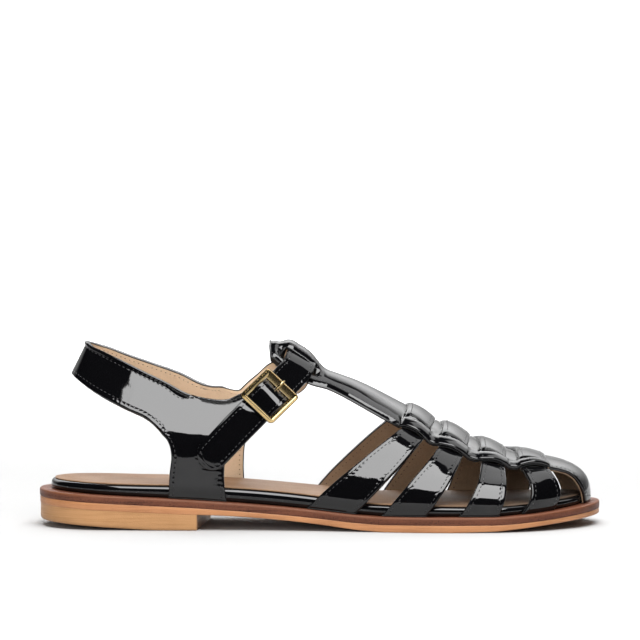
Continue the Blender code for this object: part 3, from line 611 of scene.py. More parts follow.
STRIP = table("x edge_z middle", (
    (-24, 77.4, 3.0),
    (-13, 68.6, 3.0),
    (-5.8, 64.2, 2.8),
    (3.9, 61.2, 2.6),
    (13.1, 56.8, 2.4),
    (21.2, 52.4, 2.4),
    (36.2, 44.3, 2.4),
    (53, 35.9, 2.6),
    (69, 30.0, 3.0),
    (86, 26.3, 3.6),
    (103, 25.4, 4.4),
    (108, 24.3, 4.4),
    (112, 22.7, 4.2),
    (114.8, 20.3, 4.0),
    (116.8, 17.0, 4.0),
    (118.0, 13.6, 4.0),
    (118.8, 8.0, 4.0),
))
INNER_LEAD = 7.5
INNER_LEAD_START = 98.0
INNER_LEAD_LENGTH = 10.0
TAB_LINES = table("ridge edge", ((-23.4, -22.6), (3.4, 3.0)))
TOE_LINES = table("ridge edge", ((112.0, 112.0), (121.2, 121.2)))
TBAR = table("x lift", (
    (-23.4, 0.5),
    (-21.8, 0.6),
    (-20.2, 1.6),
    (-18.4, 4.5),
    (-16.6, 5.5),
    (-13.6, 5.7),
    (-10.5, 5.7),
    (-7.4, 5.2),
    (-4.4, 3.9),
    (-2.4, 2.6),
    (-0.6, 1.4),
    (1.4, 0.4),
    (3.4, 0.0),
))
SLIT_START = -18.6
SLIT_END = -2.4
INNER_SLIT_START = -17.2
INNER_SLIT_END = -5.2
SLITS = table("x inner outer", ((3.4, 0.58, 0.66), (33.0, 0.69, 0.77)))
SLIT_COLUMN = 14
LEAN = 0.22
LEAN_HEIGHT = 40.5
LEAN_BEND = 5.0
SWELL = 1.0
SWELL_HEIGHT = 37.5
SWELL_REACH = 10.0
LEAN_FRONT = -22.0
LEAN_BLEND = 26.0
SMALL_X = 0.05
SMALL_PHI = 0.01
TIP_MARGIN = 0.01


def section(x, phi):
    """Sizes of the last's cross-section at x: foot, height, ridge, reach and fullness."""
    outer, inner = plan(x, LAST_EDGE["side"], LAST_EDGE["heel"], LAST_EDGE["toe"])
    foot = welt_top(x) + LAYER_GAP
    top = smooth(x, FORM["x"], FORM["top"])
    height = (top - foot) * rounding(x, TOE_BOX_START, LAST_EDGE["toe"], TOE_BOX_FULL)
    ridge = np.clip(smooth(x, FORM["x"], FORM["ridge"]), outer, inner)
    reach = np.where(phi < 0, ridge - outer, inner - ridge)
    fulls = [smooth(x, FORM["x"], FORM[side]) for side in ("outer", "inner")]
    full = np.where(phi < 0, *fulls)
    return foot, height, ridge, reach, full


def soft_power(t, full):
    """t to the power full, rounded off at zero so that the ridge has no crease."""
    low = RIDGE_SOFT**full
    return ((t**2 + RIDGE_SOFT**2) ** (full / 2) - low) / ((1 + RIDGE_SOFT**2) ** (full / 2) - low)


def lean(x, z):
    """How far the sides behind the instep lie inside the plain cross-section: a ramp that
    starts softly at mid height, less a slight swell below it."""
    above = z - LEAN_HEIGHT
    inward = LEAN * (np.sqrt(above**2 + LEAN_BEND**2) + above) / 2
    swell = SWELL * np.exp(-(((z - SWELL_HEIGHT) / SWELL_REACH) ** 2))
    return ease((LEAN_FRONT - x) / LEAN_BLEND) * (inward - swell)


def last_point(x, phi):
    """Point of the last: a superellipse over each cross-section, phi running from -90 degrees
    at the outer foot over the ridge to +90 at the inner foot."""
    foot, height, ridge, reach, full = section(x, phi)
    t = np.abs(np.sin(phi)) ** (2 / full)
    z = foot + height * np.clip(1 - soft_power(t, full), 0.0, 1.0) ** (1 / full)
    y = ridge + np.sign(phi) * (reach * t - lean(x, z))
    return np.stack(np.broadcast_arrays(x, y, z), axis=-1)


def last_normal(x, phi):
    """Outward direction of the last: cross product of its two tangents."""
    right = np.pi / 2
    ahead = np.minimum(x + SMALL_X, LAST_EDGE["toe"] - TIP_MARGIN)
    along = last_point(ahead, phi) - last_point(x - SMALL_X, phi)
    up, down = np.minimum(phi + SMALL_PHI, right), np.maximum(phi - SMALL_PHI, -right)
    out = np.cross(along, last_point(x, up) - last_point(x, down))
    return out / np.linalg.norm(out, axis=-1, keepdims=True)


def phi_at_height(x, z, side):
    """Place on the outer (side -1) or inner (side 1) flank of the last at height z."""
    foot, height, _, _, full = section(x, side * 1.0)
    level = np.clip((z - foot) / height, 0.0, 1.0)
    low = RIDGE_SOFT**full
    fall = (1 - level**full) * ((1 + RIDGE_SOFT**2) ** (full / 2) - low) + low
    t = np.sqrt(np.maximum(fall ** (2 / full) - RIDGE_SOFT**2, 0.0))
    return side * np.arcsin(np.clip(t ** (full / 2), 0.0, 1.0))


def phi_at_width(x, y):
    """Place on the last at the sideways distance y."""
    side = np.where(y < section(x, 1.0)[2], -1.0, 1.0)
    _, _, ridge, reach, full = section(x, side)
    return side * np.arcsin(np.clip(np.abs(y - ridge) / reach, 0.0, 1.0) ** (full / 2))


def strip_edges(x):
    """Places of the centre strip's outer and inner edge on the last at x: the outer by its
    height, the inner by mirroring it about the strip's own middle line, but at the toe the
    inner edge comes down sooner than the outer."""
    outer = phi_at_height(x, smooth(x, STRIP["x"], STRIP["edge_z"]), -1)
    y = 2 * smooth(x, STRIP["x"], STRIP["middle"]) - last_point(x, outer)[..., 1]
    lead = ease((x - INNER_LEAD_START) / INNER_LEAD_LENGTH)
    ahead = phi_at_height(x, smooth(x + INNER_LEAD * lead, STRIP["x"], STRIP["edge_z"]), 1)
    inner = phi_at_width(x, y)
    return outer, between(inner, ahead, lead)


def edge_x(ridge_x, side):
    """Where a line across the strip that crosses the ridge at ridge_x meets the strip's edge."""
    shift = STRAPS["edge_shift"] * (side > 0)
    ridge = np.stack((STRAPS["ridge_a"], STRAPS["ridge_b"]), axis=1).ravel()
    edge = np.stack((STRAPS["edge_a"] + shift, STRAPS["edge_b"] + shift), axis=1).ravel()
    ridge = np.concatenate((TAB_LINES["ridge"], ridge, TOE_LINES["ridge"]))
    edge = np.concatenate((TAB_LINES["edge"], edge, TOE_LINES["edge"]))
    return np.interp(ridge_x, ridge, edge)


def strip_place(ridge_x, c):
    """Place on the last for a line across the strip and its share c from the ridge (0) to the
    outer (-1) or inner (1) edge: x bends with the square of c, phi grows evenly."""
    ends = [edge_x(ridge_x, side) for side in (-1, 1)]
    phis = [strip_edges(ends[0])[0], strip_edges(ends[1])[1]]
    x = np.where(c < 0, ends[0], ends[1])
    phi = np.where(c < 0, phis[0], phis[1])
    return ridge_x + (x - ridge_x) * c * c, phi * np.abs(c)


EDGE_RADIUS = 0.6
RIM_WIDTH = 2.0
RIM_RUN = 1.0
TUCK = 1.05
TUCK_HEIGHT = 6.0
TOE_CAP = 106.0
TOE_CAP_BLEND = 8.0
BATCH = 800
NO_SEAM = 10.0


def runs(grid, axis):
    """Distance run along one axis of a grid of points, from its first row."""
    step = np.linalg.norm(np.diff(grid, axis=axis), axis=-1)
    return np.insert(np.cumsum(step, axis=axis), 0, 0.0, axis=axis)


def rim_of(grids, keeps):
    """Edges used by one kept face alone in several grids that share some points. Returns the
    points, the kept faces and the edges as point pairs."""
    points, cells = net(grids)
    cells = cells[np.concatenate([keep.ravel() for keep in keeps])]
    _, first, same = np.unique(np.round(points, 3), axis=0, return_index=True, return_inverse=True)
    joined = first[same.ravel()][cells]
    sides = np.concatenate([joined[:, (k, (k + 1) % 4)] for k in range(4)])
    pairs, uses = np.unique(np.sort(sides, axis=1), axis=0, return_counts=True)
    return points, cells, pairs[(uses == 1) & (pairs[:, 0] != pairs[:, 1])]


def edge_distance(grids, keeps):
    """Distance of every point of the grids from their nearest free edge."""
    points, _, rim = rim_of(grids, keeps)
    share = np.linspace(0, 1, 4, endpoint=False)[:, None, None]
    marks = between(points[rim[:, 0]], points[rim[:, 1]], share).reshape(-1, 3)
    size = np.sum(marks**2, axis=1)
    near = []
    for part in np.array_split(points, max(1, len(points) // BATCH)):
        gap = np.sum(part**2, axis=1)[:, None] + size - 2 * part @ marks.T
        near.append(np.sqrt(np.maximum(gap.min(axis=1), 0.0)))
    near = np.concatenate(near)
    sizes = np.cumsum([g.shape[0] * g.shape[1] for g in grids])[:-1]
    return [d.reshape(g.shape[:2]) for d, g in zip(np.split(near, sizes), grids)]


def round_edge(edge, thick, press):
    """Height of a wall near its edge: full inside, pressed down or flared outside its stitches,
    and falling along a quarter circle at the edge itself."""
    short = np.clip(EDGE_RADIUS - edge, 0.0, EDGE_RADIUS)
    fall = press * np.clip((RIM_WIDTH - edge) / RIM_RUN, 0.0, 1.0)
    return thick - fall - EDGE_RADIUS + np.sqrt(EDGE_RADIUS**2 - short**2)


def tuck(grid):
    """How much a wall thins where it turns in under the footbed, just above the welt; not
    at the toe, where the cap stands straight on it."""
    height = grid[..., 2] - welt_top(grid[..., 0]) - LAYER_GAP
    behind_cap = 1.0 - ease((grid[..., 0] - TOE_CAP) / TOE_CAP_BLEND)
    return TUCK * (1.0 - ease(height / TUCK_HEIGHT)) * behind_cap


def closed_wall(inner, outer, keeps, along, edge):
    """Closed wall from matching inner and outer grids: both skins, and a rim wherever an edge
    of the inner skin belongs to one face alone. Carries the two distances as fields."""
    near, cells, rim = rim_of(inner, keeps)
    far = np.concatenate([g.reshape(-1, 3) for g in outer])
    total = len(near)
    rims = np.column_stack((rim, rim[:, ::-1] + total))
    faces = np.concatenate((cells, cells[:, ::-1] + total, rims))
    fields = [np.concatenate([v.ravel() for v in values] * 2) for values in (along, edge)]
    return np.concatenate((far, near)), faces, fields


def panel(skin, out, **changes):
    """One panel of a leather piece: its skin and outward direction, which faces are kept, and at each
    point its lift, its thickness, the distance along it, where its edge has no seam (unsewn) or no
    paint (bare above zero) and where its lining is painted black all over as painted shade (bare below
    zero), and how far its rim is pressed down. Changes replace the plain values."""
    flat = np.zeros(skin.shape[:2])
    values = {key: flat.copy() for key in ("lift", "unsewn", "bare", "press")}
    keep = np.ones((skin.shape[0] - 1, skin.shape[1] - 1), dtype=bool)
    values.update(skin=skin, out=out, thick=flat + WALL, keep=keep, along=runs(skin, 0))
    values.update(changes)
    return values


def leather(name, panels, patent, lining, node):
    """Lined leather piece from panels: each is lifted off the last along its outward direction,
    with the lining next to the foot and the patent on it. Returns each panel's face."""
    keys = "skin out lift thick keep along unsewn bare press".split()
    skins, outs, lifts, thicks, keeps, along, unsewn, bare, press = (
        [one[key] for one in panels] for key in keys
    )
    edge = edge_distance(skins, keeps)
    sewn = [e + NO_SEAM * u for e, u in zip(edge, unsewn)]
    painted = [e + NO_SEAM * b for e, b in zip(edge, bare)]
    base = [s + o * n[..., None] for s, o, n in zip(skins, outs, lifts)]
    glue = [b + o * (LINING + GLUE_LINE) for b, o in zip(base, outs)]
    back = [b + o * LINING for b, o in zip(base, outs)]
    depth = [round_edge(e, t, p) - tuck(b) for e, t, p, b in zip(edge, thicks, press, base)]
    face = [b + o * d[..., None] for b, o, d in zip(base, outs, depth)]
    points, faces, fields = closed_wall(glue, face, keeps, along, sewn)
    put(name, points, faces, patent, "patent_leather", node, along=fields[0], edge=fields[1])
    points, faces, fields = closed_wall(base, back, keeps, along, painted)
    put(name + "_lining", points, faces, lining, "sock_leather", along=fields[0], edge=fields[1])
    return face


STRIP_INSET = 2.3
STITCH_COLUMN = 7
WEAVE_START = 37.0
WEAVE_END = 104.0
STEM_PRESS = 1.2
BAND_BULGE = 0.5
STEM_END = 37.2
CAP_START = 103.4
CAP_TIP = 121.19
TAB_ROWS = 50
STEM_ROWS = 30
WEAVE_ROWS = 170
CAP_ROWS = 46
EDGE_STEPS = (0.0, 0.1, 0.28, 0.55, 0.8)
STRIP_BAND = 2.9
BAND_SHARE = 0.85


def slit_sides(u):
    """Shares of the inner and outer side of the slits at each row."""
    return [np.interp(u, SLITS["x"], SLITS[side]) for side in ("inner", "outer")]


def strip_columns(half):
    """Shares from the strip's edge to its ridge for each row: close steps at the edge, one
    on the stitch line, then the two sides of the slit, then even steps to the ridge."""
    inner, outer = [side[:, None] for side in slit_sides(ridge_rows)]
    half = half[:, None]
    steps = np.array((*EDGE_STEPS, 1.85, 2.05, STRIP_INSET, STRIP_BAND))
    near = 1 - steps * np.minimum(1.0, BAND_SHARE * (1 - outer) * half / STRIP_BAND) / half
    band = between(near[:, -1:], outer, np.linspace(0, 1, 7)[1:])
    middle = inner * np.linspace(1, 0, 12)
    return np.concatenate((near, band, middle), axis=1)


tab_rows = np.linspace(TBAR["x"][0], TBAR["x"][-1], TAB_ROWS)
tab_rows = np.union1d(np.round(tab_rows, 4), (SLIT_START, SLIT_END))
stem_rows = np.linspace(TBAR["x"][-1], STEM_END, STEM_ROWS)
weave_rows = np.round(np.linspace(STEM_END, CAP_START, WEAVE_ROWS), 4)
weave_rows = np.union1d(weave_rows, np.concatenate((STRAPS["ridge_a"], STRAPS["ridge_b"])))
toe_rows = between(CAP_START, CAP_TIP, np.sin(np.pi / 2 * np.linspace(0, 1, CAP_ROWS)))
ridge_rows = np.unique(np.concatenate((tab_rows, stem_rows, weave_rows, toe_rows)))
fan = np.linspace(0, 1, 25)
halves = [last_point(*strip_place(ridge_rows[:, None], side * fan)) for side in (-1, 1)]
outer_c, inner_c = [strip_columns(runs(half, 1)[:, -1]) for half in halves]
strip_c = np.concatenate((-outer_c, inner_c[:, -2::-1]), axis=1)
strip_u = np.broadcast_to(ridge_rows[:, None], strip_c.shape)
strip_x, strip_phi = strip_place(strip_u, strip_c)
strip_skin = last_point(strip_x, strip_phi)
# At the tip the last row lies straight on the welt, from one side to the other.
tip_share = np.linspace(0, 1, strip_c.shape[1])[:, None]
strip_skin[-1] = between(strip_skin[-1, 0], strip_skin[-1, -1], tip_share)
strip_out = last_normal(strip_x, strip_phi)

ARCH_RUN = 1.3
ARCH_LIFT = 1.25
ARCH_BOW = 1.2
MIDDLE_PRESS = 0.2
TONGUE_CORE = 0.3
TONGUE_SOFT = 0.36
SLIT_OVERRUN = 0.3


def strap_share(u, k):
    """Share of the way from a strap's back edge to its front edge on the ridge."""
    return (u - STRAPS["ridge_a"][k]) / (STRAPS["ridge_b"][k] - STRAPS["ridge_a"][k])


def strip_lift(u, c):
    """Lift of the strip off the last: its edge bands bulge a little and arch over each strap, its
    middle is pressed down under it, and the T-bar's tongue rises over the ankle strap."""
    inner, outer = slit_sides(u)
    band = ease((np.abs(c) - inner) / (outer - inner))
    lift = np.zeros_like(u)
    for k in range(len(STRAPS["ridge_a"])):
        start, end = STRAPS["ridge_a"][k] - ARCH_RUN, STRAPS["ridge_b"][k] + ARCH_RUN
        over = ease((u - start) / ARCH_RUN) * ease((end - u) / ARCH_RUN)
        arch = ARCH_LIFT + ARCH_BOW * np.sin(np.pi * np.clip(strap_share(u, k), 0, 1))
        lift += over * (band * arch - MIDDLE_PRESS * (1 - band))
    cord = np.clip((np.abs(c) - outer) / (1 - outer), 0, 1)
    in_weave = ease((u - WEAVE_START) / 2) * ease((WEAVE_END - u) / 3)
    lift += BAND_BULGE * 4 * cord * (1 - cord) * in_weave
    tongue = smooth(u, TBAR["x"], TBAR["lift"]) * (u < TBAR["x"][-1])
    in_slit = (u >= SLIT_START - 0.01) & (u <= SLIT_END + 0.01)
    soft = 1 - ease((np.abs(c) - TONGUE_CORE) / TONGUE_SOFT)
    return lift + tongue * np.where(in_slit, 1 - band, soft)


def strip_keep():
    """Faces of the strip that are kept: all but its slits at the T-bar and at each strap."""
    u = (ridge_rows[1:] + ridge_rows[:-1]) / 2
    woven_slit = np.zeros(u.shape, dtype=bool)
    for k in range(len(STRAPS["ridge_a"])):
        start, end = STRAPS["ridge_a"][k] - SLIT_OVERRUN, STRAPS["ridge_b"][k] + SLIT_OVERRUN
        woven_slit |= (u > start) & (u < end)
    keep = np.ones((len(u), strip_c.shape[1] - 1), dtype=bool)
    keep[:, SLIT_COLUMN] = ~(woven_slit | ((u > SLIT_START) & (u < SLIT_END)))
    keep[:, -1 - SLIT_COLUMN] = ~(woven_slit | ((u > INNER_SLIT_START) & (u < INNER_SLIT_END)))
    return keep


sewn_patent = patent_leather("sewn_patent", STRIP_INSET)
LINING_PALE = (0.62, 0.42, 0.27)
LINING_DARK = (0.44, 0.275, 0.165)
# Painted shade: the centre strip's lining takes the lining colours times this share.
STRIP_LINING_PAINTED_SHADE = 0.4
STEM_BLEND = 4.0


def shaded_lining(name, share):
    """Sewn lining leather with painted edges, its colours darkened as painted shade: their parts times
    the share.
    """
    pale, dark = [tuple(share * part for part in colour) + (1.0,)
                  for colour in (LINING_PALE, LINING_DARK)]
    return sock_material(name, pale, dark, STRIP_INSET, paint=True)


tan_lining = shaded_lining("tan_lining", STRIP_LINING_PAINTED_SHADE)
woven = (strip_u > WEAVE_START) & (strip_u < WEAVE_END)
# Painted shade: behind the stem (u below zero) the T-bar's lining is painted black all over, as it lies
# in shadow under the tongue.
strip_panel = panel(
    strip_skin, strip_out, lift=strip_lift(strip_u, strip_c), keep=strip_keep(), unsewn=woven,
    bare=1.0 * (strip_u > WEAVE_END - 2) - 1.0 * (strip_u < 0),
    press=STEM_PRESS * (1 - ease((strip_u - WEAVE_START + STEM_BLEND) / STEM_BLEND)),
)
(strip_face,) = leather("centre_strip", [strip_panel], sewn_patent, tan_lining, "upper")


# Stitches: waxed black thread, sewn through the leather a little inside its edges.
# Each stitch is a short bowed thread that dips into a needle hole at both ends.

THREAD_BLACK = (0.012, 0.012, 0.013, 1)
STITCH_HALF = STITCH_PITCH * 0.40
THREAD_RADIUS = 0.2
THREAD_OUT = 0.02
THREAD_DIP = 0.3
THREAD = table("place thick", (
    (-1.0, 0.0),
    (-0.85, 0.7),
    (-0.45, 1.0),
    (0.0, 1.0),
    (0.45, 1.0),
    (0.85, 0.7),
    (1.0, 0.0),
))
WELT_CLEAR = 2.5


def line_at(place, run, values):
    """Points or directions given along a run, read at other places on it."""
    return np.stack([np.interp(place, run, values[:, i]) for i in range(3)], axis=-1)


def threads(points, outs, seen=None):
    """Stitches along a line of points: at even steps a closed spindle of thread whose middle
    stands out of the leather by a parabola. Returns rings of points for every stitch."""
    run = runs(points, 0)
    count = int(run[-1] / STITCH_PITCH)
    middle = (np.arange(count) + 0.5) * STITCH_PITCH
    if seen is not None:
        middle = middle[np.interp(middle, run, seen.astype(float)) > 0.5]
    ahead = line_at(middle + STITCH_HALF, run, points) - line_at(middle - STITCH_HALF, run, points)
    ahead /= np.linalg.norm(ahead, axis=1, keepdims=True)
    out = line_at(middle, run, outs)
    out /= np.linalg.norm(out, axis=1, keepdims=True)
    side = np.cross(ahead, out)
    t = THREAD["place"][:, None]
    thick = THREAD_RADIUS * THREAD["thick"][:, None]
    turn = np.linspace(0, 2 * np.pi, 7)[None, :]
    rise = THREAD_OUT - THREAD_DIP * t**2 + thick * np.cos(turn)
    wide = thick * np.sin(turn)
    rings = line_at(middle, run, points)[:, None, None, :]
    for way, size in ((ahead, t * STITCH_HALF + 0 * turn), (out, rise), (side, wide)):
        rings = rings + way[:, None, None, :] * size[..., None]
    return list(rings)


def thread_material():
    """Waxed black thread: dark, softly shining, with the twist of its strands as relief."""
    material, tree, shader = finish("waxed_thread", THREAD_BLACK, 0.3)
    place = tree.nodes.new("ShaderNodeTexCoord").outputs["Object"]
    twist = add(tree, "ShaderNodeTexNoise", place, None, 2600.0, 1.0, 0.5).outputs[0]
    tree.links.new(span(tree, twist, 0.3, 0.7, 0.22, 0.45), shader.inputs["Roughness"])
    relief(tree, shader, twist, 0.0001)
    return material


waxed_thread = thread_material()
seam_rings = []
for column in (STITCH_COLUMN, strip_c.shape[1] - 1 - STITCH_COLUMN):
    line = strip_face[:, column]
    shown = (line[:, 2] > welt_top(line[:, 0]) + WELT_CLEAR) & ~woven[:, column]
    seam_rings += threads(line, strip_out[:, column], shown)
put("strip_stitches", *net(seam_rings), waxed_thread, "patent_leather", turn=60)


# Woven straps: four lined straps, sewn along both edges. Each rises from the welt, passes
# under the strip's edge band, up through a slit, over the strip's middle and down again.

STRAP_INSET = 2.0
FOOT_SWELL = 0.7
# Painted shade: each strap's lining takes the lining colours times its share here, darkest at the
# fourth strap by the toe.
STRAP_LINING_PAINTED_SHADE = (0.5, 0.5, 0.4, 0.2)
WEAVE = table("share bump", (
    (0.0, 0.55),
    (0.12, 0.85),
    (0.3, 1.0),
    (0.55, 0.93),
    (0.8, 0.65),
    (1.0, 0.3),
))
WEAVE_RISE = 2.0
OVER_END = 0.84
OVER_RUN = 0.2
UNDER_START = 0.7
UNDER_RUN = 0.12
UNDER_END = 1.06
UNDER_FADE = 0.1
UNDER_SINK = 0.1
UNDER_THIN = 0.35
CROWN_THICK = 0.2
SWELL_START = 8.0
SWELL_TOP = 10.0
SWELL_FADE = 14.0
FLANK_START = 1.15
FLANK_RUN = 0.25
TOE_LIMIT = TOE_CAP - 14.0
TOE_FADE = 10.0
SEAM_UNDER = 0.68
SEAM_OUT = 1.03
STRAP_CLEAR = 2.0
FLANK_ROWS = 60
CROSSING_ROWS = 81


def strap_place(k, q, share):
    """Place on the last for a strap's share across (0 back edge, 1 front edge) and q along it:
    -2 at the outer welt, -1 to 1 across the strip, 2 at the inner welt. Between strip and welt
    the height falls evenly and x runs straight with a slight bow."""
    ridge_x, foot_x, bow = [between(STRAPS[line + "_a"][k], STRAPS[line + "_b"][k], share)
                            for line in ("ridge", "foot", "bow")]
    on_x, on_phi = strip_place(ridge_x, np.clip(q, -1.0, 1.0))
    step = np.clip(np.abs(q) - 1, 0.0, 1.0)
    flank = []
    for side in (-1, 1):
        top_x = edge_x(ridge_x, side)
        top = last_point(top_x, strip_edges(top_x)[0 if side < 0 else 1])[..., 2]
        end_x = foot_x + STRAPS["foot_shift"][k] * (side > 0)
        x = between(top_x, end_x, step) + 4 * bow * step * (1 - step)
        z = between(top, welt_top(x) + LAYER_GAP, step)
        flank.append((x, phi_at_height(x, z, side)))
    x = np.where(q < -1, flank[0][0], np.where(q > 1, flank[1][0], on_x))
    phi = np.where(q < -1, flank[0][1], np.where(q > 1, flank[1][1], on_phi))
    return x, phi


def edge_shares(width, inset, middle=10):
    """Shares across a strap of the given widths: close steps at both edges with one on each
    stitch line, and even steps between."""
    steps = np.array((*EDGE_STEPS, 1.45, 1.7, inset, inset + 0.9))
    low = steps / width[:, None]
    even = low[:, -1:] + (1 - 2 * low[:, -1:]) * np.linspace(0, 1, middle + 1)[1:-1]
    return np.concatenate((low, even, 1 - low[:, ::-1]), axis=1)


outer_q = np.linspace(-2, -1, FLANK_ROWS)[:-1]
inner_q = np.linspace(1, 2, FLANK_ROWS)[1:]
strap_q = np.concatenate((outer_q, np.linspace(-1, 1, CROSSING_ROWS), inner_q))
strap_rings = []
for k in range(len(STRAPS["ridge_a"])):
    back, front = [last_point(*strap_place(k, strap_q, np.full_like(strap_q, edge))) for edge in (0, 1)]
    share = edge_shares(np.linalg.norm(front - back, axis=-1), STRAP_INSET)
    q = np.broadcast_to(strap_q[:, None], share.shape)
    x, phi = strap_place(k, q, share)
    skin, out = last_point(x, phi), last_normal(x, phi)
    over = ease((OVER_END - np.abs(q)) / OVER_RUN)
    under = ease((np.abs(q) - UNDER_START) / UNDER_RUN) * ease((UNDER_END - np.abs(q)) / UNDER_FADE)
    lift = WEAVE_RISE * over * smooth(share, WEAVE["share"], WEAVE["bump"]) - UNDER_SINK * under
    height = skin[..., 2] - welt_top(x) - LAYER_GAP
    swell = FOOT_SWELL * ease(height / SWELL_START) * (1 - ease((height - SWELL_TOP) / SWELL_FADE))
    flank = ease((np.abs(q) - FLANK_START) / FLANK_RUN) * (1 - ease((x - TOE_LIMIT) / TOE_FADE))
    thick = WALL - UNDER_THIN * under + CROWN_THICK * over * 4 * share * (1 - share)
    strap_panel = panel(skin, out, lift=lift + swell * flank, thick=thick)
    strap_lining = shaded_lining(f"strap_lining_{k + 1}", STRAP_LINING_PAINTED_SHADE[k])
    (face,) = leather(f"woven_strap_{k + 1}", [strap_panel], sewn_patent, strap_lining, "upper")
    in_sight = (np.abs(strap_q) > SEAM_OUT) | (np.abs(strap_q) < SEAM_UNDER)
    for column in (STITCH_COLUMN, share.shape[1] - 1 - STITCH_COLUMN):
        line = face[:, column]
        shown = in_sight & (line[:, 2] > welt_top(line[:, 0]) + STRAP_CLEAR)
        strap_rings += threads(line, out[:, column], shown)
put("woven_strap_stitches", *net(strap_rings), waxed_thread, "patent_leather", turn=60)


# Quarters, sling and ankle strap: one long piece of lined patent leather. Both quarters rise
# from the welt, the sling joins them round the heel, and the inner one runs on as the strap.

OUTER_QUARTER = table("rear_x rear_z front_x front_z", (
    (-67.8, 0.0, -42.0, 0.0),
    (-67.7, 18.0, -42.5, 18.0),
    (-67.4, 25.0, -42.9, 24.0),
    (-66.6, 33.0, -42.5, 30.0),
    (-67.8, 38.8, -41.2, 34.0),
    (-70.6, 42.4, -39.5, 37.5),
    (-64.6, 50.9, -36.5, 41.5),
    (-58.2, 59.6, -33.0, 45.2),
    (-49.0, 57.5, -29.7, 47.8),
    (-42.0, 57.3, -27.2, 49.6),
    (-37.0, 59.2, -24.0, 51.4),
    (-30.6, 62.2, -21.2, 53.6),
))
INNER_QUARTER = table("rear_x rear_z front_x front_z", (
    (-61.5, 0.0, -34.5, 0.0),
    (-61.4, 18.0, -34.8, 18.0),
    (-61.3, 25.0, -35.0, 24.5),
    (-61.0, 35.0, -34.8, 31.0),
    (-62.0, 41.5, -34.2, 35.0),
    (-64.4, 45.8, -33.2, 38.2),
    (-58.6, 54.0, -31.6, 41.6),
    (-52.4, 61.6, -29.8, 44.4),
    (-44.6, 60.9, -27.8, 46.6),
))
HEEL_CENTRE = -80.0
HEEL_DEPTH = 30.9
HEEL_LEAN = 0.5
HEEL_LEVEL = 68.0
HEEL_FULL = 2.3
SLING = table("angle low high", (
    (-90, 53.5, 69.8),
    (-70, 58.3, 74.5),
    (-50, 62.3, 77.8),
    (-30, 65.5, 80.1),
    (-12, 67.2, 81.7),
    (0, 67.4, 82.0),
    (12, 67.2, 81.9),
    (30, 65.9, 80.8),
    (50, 63.8, 78.9),
    (70, 60.2, 75.8),
    (90, 56.0, 72.0),
))
SLING_ROOTS = table("side low_x low_z high_x high_z", (
    (-1, -77.6, 49.0, -69.4, 65.2),
    (1, -73.6, 52.0, -64.2, 67.0),
))
QUARTER_PALE = (0.7, 0.52, 0.36, 1)
QUARTER_DARK = (0.54, 0.385, 0.245, 1)
QUARTER_INSET = 1.9
QUARTER_COLUMNS = 14
JOIN_LOW = 5
JOIN_HIGH = 7
SLING_WIDTH = 14.4
RIM_FLARE = 0.75
sling_w = edge_shares(np.array((SLING_WIDTH,)), QUARTER_INSET)[0]


def rear_edge(sizes, root, r, axis):
    """Rear edge of a quarter at row r, as one coordinate: a curve up to the sling's lower
    root, one across the join, and one on from the sling's upper root."""
    values = sizes["rear_" + axis]
    rows = np.arange(len(values), dtype=float)
    low = np.append(values[: JOIN_LOW + 1], SLING_ROOTS["low_" + axis][root])
    high = np.insert(values[JOIN_HIGH:], 0, SLING_ROOTS["high_" + axis][root])
    below = smooth(r, rows[: JOIN_LOW + 2], low)
    join = smooth(r, rows[JOIN_LOW:JOIN_HIGH + 1], values[JOIN_LOW:JOIN_HIGH + 1])
    above = smooth(r, rows[JOIN_HIGH - 1:], high)
    return np.where(r <= JOIN_LOW, below, np.where(r >= JOIN_HIGH, above, join))


def quarter_skin(sizes, root, r):
    """Quarter on the last: straight rows from its rear to its front edge, with the front edge
    a curve through the table. Returns skin and outward direction."""
    side = SLING_ROOTS["side"][root]
    sizes = {key: values.copy() for key, values in sizes.items()}
    for end in ("rear", "front"):
        sizes[end + "_z"][0] = welt_top(sizes[end + "_x"][0]) + LAYER_GAP
    rows = np.arange(len(sizes["rear_x"]), dtype=float)
    rear = [rear_edge(sizes, root, r, axis) for axis in "xz"]
    front = [smooth(r, rows, sizes["front_" + axis]) for axis in "xz"]
    width = np.hypot(front[0] - rear[0], front[1] - rear[1])
    share = edge_shares(width, QUARTER_INSET, QUARTER_COLUMNS)
    x, z = [between(a[:, None], b[:, None], share) for a, b in zip(rear, front)]
    phi = phi_at_height(x, z, side)
    return last_point(x, phi), last_normal(x, phi)


def quarter_rows(sizes, below, above):
    """Rows of a quarter, counted in rows of its table: even steps below and above the sling's
    join, and the sling's own lines across it. Returns them and which of them are the join."""
    low = np.linspace(0, JOIN_LOW, below)[:-1]
    join = between(JOIN_LOW, JOIN_HIGH, sling_w)
    high = np.linspace(JOIN_HIGH, len(sizes["rear_x"]) - 1, above)[1:]
    return np.concatenate((low, join, high)), slice(len(low), len(low) + len(join))


outer_rows, outer_join = quarter_rows(OUTER_QUARTER, 60, 50)
inner_rows, inner_join = quarter_rows(INNER_QUARTER, 50, 14)
outer_skin, outer_out = quarter_skin(OUTER_QUARTER, 0, outer_rows)
inner_skin, inner_out = quarter_skin(INNER_QUARTER, 1, inner_rows)
LEAD_BELOW = 14
LEAD_ABOVE = 9
LEAD_COLUMN = 10
SLING_ROWS = 190


